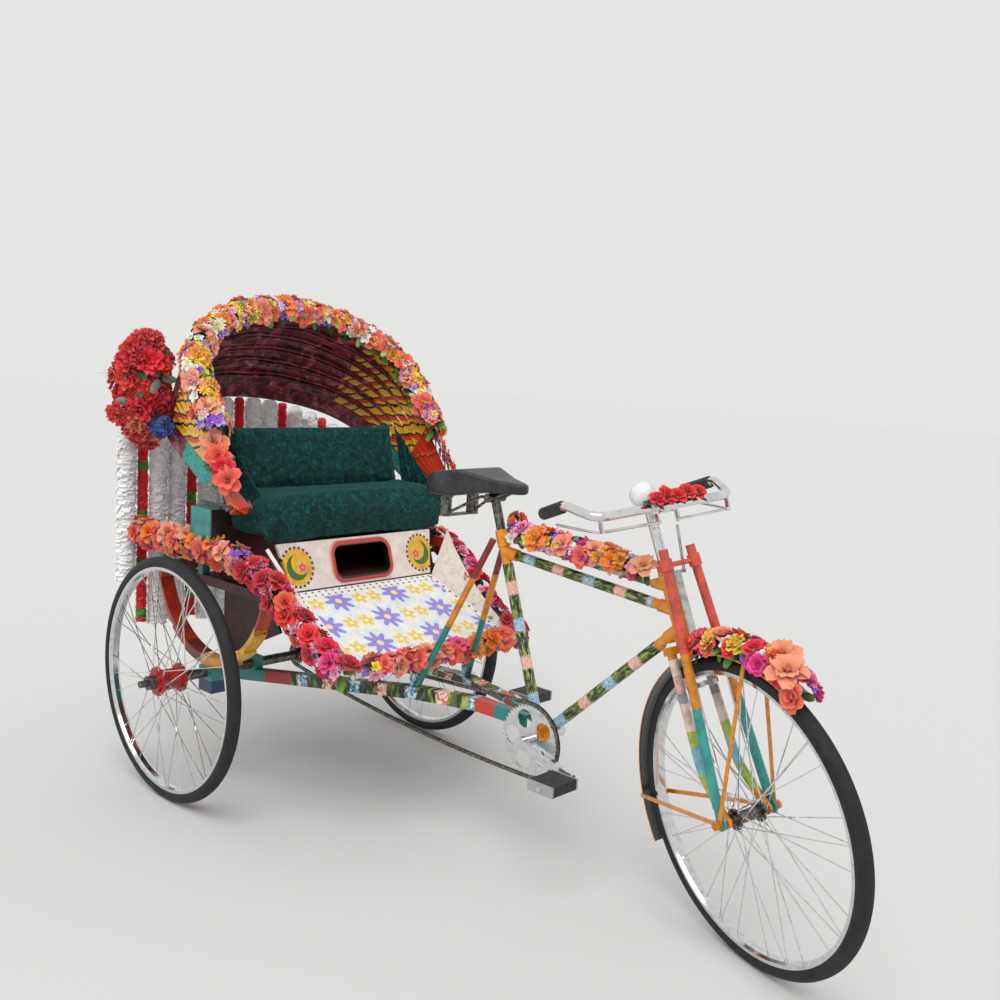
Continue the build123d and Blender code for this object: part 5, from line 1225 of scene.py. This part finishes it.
REAR_SIDE_MIX = (
    (55, "leaves", 30, 1, ("dark_leaf", "leaf")),
    (120, "blossom", 21, 20, ("violet", "white", "pink", "coral", "white", "peach")),
    (34, "lily", 37, 22, ("coral", "peach", "orange", "peach", "coral")),
    (26, "carnation", 26, 20, ("pink", "coral", "magenta")),
)
FRONT_SIDE_MIX = (
    (55, "leaves", 30, 1, ("dark_leaf", "leaf")),
    (110, "blossom", 20, 20, ("violet", "white", "magenta", "pink", "red")),
    (40, "rose", 34, 22, ("magenta", "red", "coral", "crimson", "red")),
    (34, "carnation", 27, 20, ("magenta", "red", "pink")),
)
REAR_KNOTS = [(-402, 398, 724), (-150, 398, 726), (60, 398, 728), (190, 392, 712)]
FRONT_KNOTS = [(190, 392, 712), (290, 382, 672), (380, 368, 604), (460, 356, 542), (530, 352, 506),
               (596, 350, 478)]
for side, word in ((-1, "right"), (1, "left")):
    for knots, mix, stretch_name in ((REAR_KNOTS, REAR_SIDE_MIX, "railing"),
                                     (FRONT_KNOTS, FRONT_SIDE_MIX, "panel")):
        line = rounded_line([(x, side * (y - 12), z) for x, y, z in knots])
        outs = [Vector((0.15, side, 0.5))] * len(line)
        spots = garland_spots(line, outs, mix, rng, 105.0, 10.0)
        piece = bouquet_of("%s_garland_%s" % (stretch_name, word), spots, "root", rng)
        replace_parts(piece, "body_garlands")

ACROSS_MIX = (
    (50, "leaves", 26, 1, ("dark_leaf", "leaf")),
    (130, "blossom", 20, 16, ("violet", "yellow", "magenta", "white", "pink", "lilac")),
    (40, "lily", 33, 18, ("peach", "coral", "coral", "orange", "magenta")),
)
line = rounded_line([(618, -270, 490), (618, 0, 490), (618, 262, 490)])
spots = garland_spots(line, [Vector((0.6, 0, 0.75))] * len(line), ACROSS_MIX, rng, 85.0, 4.0)
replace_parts(bouquet_of("footboard_garland", spots, "root", rng), "body_garlands")

TUBE_MIX = (
    (60, "leaves", 24, 1, ("dark_leaf", "leaf", "pale_leaf")),
    (150, "blossom", 19, 20, ("violet", "yellow", "pink", "lilac", "white", "amber")),
    (36, "lily", 32, 20, ("orange", "peach", "coral", "peach", "pink")),
    (40, "carnation", 22, 20, ("red", "amber", "magenta", "yellow")),
)
tube_low, tube_high = seat_top - SEAT_WAY * 0.012, on_fork(0, 0, 529)
way = (tube_high - tube_low).normalized()
line = stretch(tube_low + way * 0.05 + Vector((0, 0, 0.012)),
               tube_high - way * 0.07 + Vector((0, 0, 0.012)), 10)
spots = garland_spots(line, [Vector((0, 0, 1))] * len(line), TUBE_MIX, rng, 110.0, 8.0)
knot = at(862, 0, 900)
for k in range(14):
    facing = Vector(rng.normal(size=3)).normalized()
    spots.append(("rose" if k < 7 else "blossom", knot + facing * 0.014, facing, 24 if k < 7 else 18,
                  ("coral", "peach", "orange", "violet", "white")[k % 5]))
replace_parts(bouquet_of("frame_garland_flowers", spots, "root", rng), "frame_garland")

GUARD_MIX = (
    (70, "leaves", 30, 1, ("dark_leaf", "leaf")),
    (130, "blossom", 20, 22, ("white", "magenta", "yellow", "violet", "pink", "white")),
    (50, "rose", 32, 24, ("red", "coral", "coral", "peach", "magenta")),
    (40, "carnation", 26, 24, ("red", "magenta", "orange", "yellow")),
)
GUARD_R = 374.0
line, outs = [], []
for k in range(13):
    a = math.radians(40 + 52 * k / 12)
    out = on_fork(math.cos(a), 0, math.sin(a)) - on_fork(0, 0, 0)
    line.append(on_fork(RAKE + GUARD_R * math.cos(a), 0, GUARD_R * math.sin(a)))
    outs.append(out)
spots = garland_spots(line, outs, GUARD_MIX, rng, 88.0, 6.0)
# Two big peach blooms at the guard's tip
for tip, across in ((47, -16), (54, 14)):
    a = math.radians(tip)
    place = on_fork(RAKE + (GUARD_R + 34) * math.cos(a), across, (GUARD_R + 34) * math.sin(a))
    spots.append(("lily", place, on_fork(math.cos(a), 0, math.sin(a)) - on_fork(0, 0, 0) - ACROSS * 0.0004,
                  40, "peach"))
for k in range(5):
    place = on_fork(RAKE + 24, -34 + 29 * k, 722 + 6 * (k % 2))
    spots.append(("rose", place, AHEAD + UP * rng.uniform(0.2, 1.2) + ACROSS * rng.uniform(-0.3, 0.3), 26,
                  "red"))
    spots.append(("leaves", place - AHEAD * 0.01, AHEAD + UP, 22, "dark_leaf"))
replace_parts(bouquet_of("front_garland_flowers", spots, "steering", rng), "front_garland")

# The bouquet: ruffled crimson blooms, grey-green leaves and bare twigs in a tall heap
BUNCH_R, BUNCH_HALF, BUNCH_BLOOMS = 64.0, 80.0, 160
BUNCH = (("ruffled", 44, "red"), ("ruffled", 38, "crimson"), ("leaves", 40, "grey_leaf"),
         ("ruffled", 42, "red"), ("leaves", 36, "dark_leaf"), ("ruffled", 36, "red"))
spots = []
bunch_middle = at(-322, -414, 1172)
for k in range(BUNCH_BLOOMS):
    z = 1 - 2 * (k + 0.5) / BUNCH_BLOOMS
    a = 2 * math.pi * k * GOLDEN
    facing = Vector((math.sqrt(1 - z * z) * math.cos(a), math.sqrt(1 - z * z) * math.sin(a), z))
    stem = facing * (BUNCH_R * rng.uniform(0.62, 1.28)) + Vector((0, 0,
                                                                  math.copysign(abs(z) ** 0.6,
                                                                                z) * BUNCH_HALF))
    kind, radius, dye_name = BUNCH[k % len(BUNCH)]
    if z < -0.45 and k % 3 == 0:
        kind, radius, dye_name = "lily", 36, ("peach", "coral")[k % 2]
    spots.append((kind, bunch_middle + stem * MM, facing + Vector((0.2, -0.2, 0)), radius, dye_name))
# Navy frill under the bouquet, round the shoulder of the rear slat
for k in range(34):
    share = k / 33
    place = at(-290, -402, 1075).lerp(at(-168, -410, 1062), share)
    spots.append(("ruffled", place + Vector((0, -0.006 * (k % 2), 0.012 * math.sin(9 * share))),
                  Vector((rng.uniform(-0.3, 0.8), -1, rng.uniform(-0.5, 0.5))), 26, "navy"))
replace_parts(bouquet_of("shoulder_bouquet", spots, "root", rng), "bouquet")

# Thin dried bark, matt and straw to rust
twig_bark, tree, shader = mottled(
    "dried_twig", "#D9763A", 0.6, 200.0, 3.0, ((0.35, "#B5532A"), (0.65, "#E9A25C")))
for k in range(22):
    a = 2 * math.pi * k * GOLDEN
    way = Vector((0.75 * math.cos(a), -abs(math.sin(a)), rng.uniform(-0.7, 1.0))).normalized()
    bow = Vector(rng.normal(size=3)) * 0.018
    start = bunch_middle + way * 0.03 + Vector((0, 0, rng.uniform(-0.06, 0.07)))
    reach = rng.uniform(0.06, 0.085)
    tube("bouquet_twig_%d" % k, [start, start + way * reach * 0.5 + bow * 0.6, start + way * reach + bow],
         [1.1, 0.9, 0.4], twig_bark, "root", 6)


# Rear curtain
# Strings of frilled white flowers and thinner red ones with short green lengths, tied side by side
# under the hood's rear edge and left hanging free.
# Pressed polyester frill, matt white with faint dark specks
frilled_petal, tree, shader = finish_named("white_polyester_frill", "#F2F1EF", 0.6, Sheen_Weight=0.2)
dye = add(tree, "Attribute", out="Color", attribute_name="dye")
where = add(tree, "TexCoord", out="Object")
specks = add(tree, "TexVoronoi", {"Vector": where, "Scale": 150.0}, out="Distance")
dots = add(tree, "ValToRGB", {"Fac": specks}, stops=((0.05, "#FFFFFF"), (0.07, "#000000")))
dotted = add(tree, "MixRGB", {"Fac": dots, "Color1": dye, "Color2": "#3A3A3A"})
wire(shader, Base_Color=dotted)


def frill(name, top, low, radius, dyes, rng, pitch=8.0, petals=11):
    """One hanging string: rings of short drooping petals, a ring every few millimetres."""
    points, faces, uvs, colours = [], [], [], []
    count = round((top - low).length / (pitch * MM))
    for k in range(count):
        share = (k + 0.5) / count
        place = top.lerp(low, share)
        colour = linear(DYES[dyes(share * (top - low).length)])
        for p in range(petals):
            a = 2 * math.pi * (p + 0.5 * (k % 2)) / petals + rng.uniform(-0.2, 0.2)
            out = Vector((math.cos(a), math.sin(a), 0))
            side = Vector((-math.sin(a), math.cos(a), 0))
            reach = radius * MM * rng.uniform(0.82, 1.0)
            wide = reach * 0.42
            sag = rng.uniform(0.55, 1.0)
            base = len(points)
            for v, w in ((0.45, 0.8), (0.75, 1.1), (1.0, 0.6)):
                middle = place + out * (reach * v) - Vector((0, 0, reach * sag * (v - 0.45) / 0.55))
                points += [middle - side * (wide * w), middle + side * (wide * w)]
                colours += [colour] * 2
            faces += [[base, base + 1, base + 3, base + 2], [base + 2, base + 3, base + 5, base + 4]]
            uvs += [(0, 0), (1, 0), (1, 0.5), (0, 0.5), (0, 0.5), (1, 0.5), (1, 1), (0, 1)]
    made = surface(name, points, faces, uvs, frilled_petal, "root", False)
    layer = made.data.attributes.new("dye", "FLOAT_COLOR", "POINT")
    layer.data.foreach_set("color", np.array(colours, np.float32).ravel())
    return made


CURTAIN_X, CURTAIN_TOP, CURTAIN_LOW, CURTAIN_DROP = -430.0, 1150.0, 425.0, 110.0
WHITE_WIDE, RED_WIDE, STRAND_GAP = 66.0, 42.0, 0.6
strands = (WHITE_WIDE, RED_WIDE) + (WHITE_WIDE, WHITE_WIDE, RED_WIDE) * 4 + (WHITE_WIDE,)
y = -(sum(strands) + STRAND_GAP * (len(strands) - 1)) / 2
for n, width in enumerate(strands):
    middle = y + width / 2
    low = CURTAIN_LOW if abs(middle) < 380 else CURTAIN_LOW + 145
    top = CURTAIN_TOP - CURTAIN_DROP * (middle / 440) ** 2
    red = width == RED_WIDE

    def dyes(run, red=red):
        return "white" if not red else "leaf" if run % 0.16 > 0.13 else "red"

    string = frill("curtain_string_%d" % n, at(CURTAIN_X, middle, top), at(CURTAIN_X, middle, low),
                   width * (0.5 if not red else 0.45), dyes, rng)
    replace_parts(string, "rear_curtain")
    y += width + STRAND_GAP

low, high = cad_box
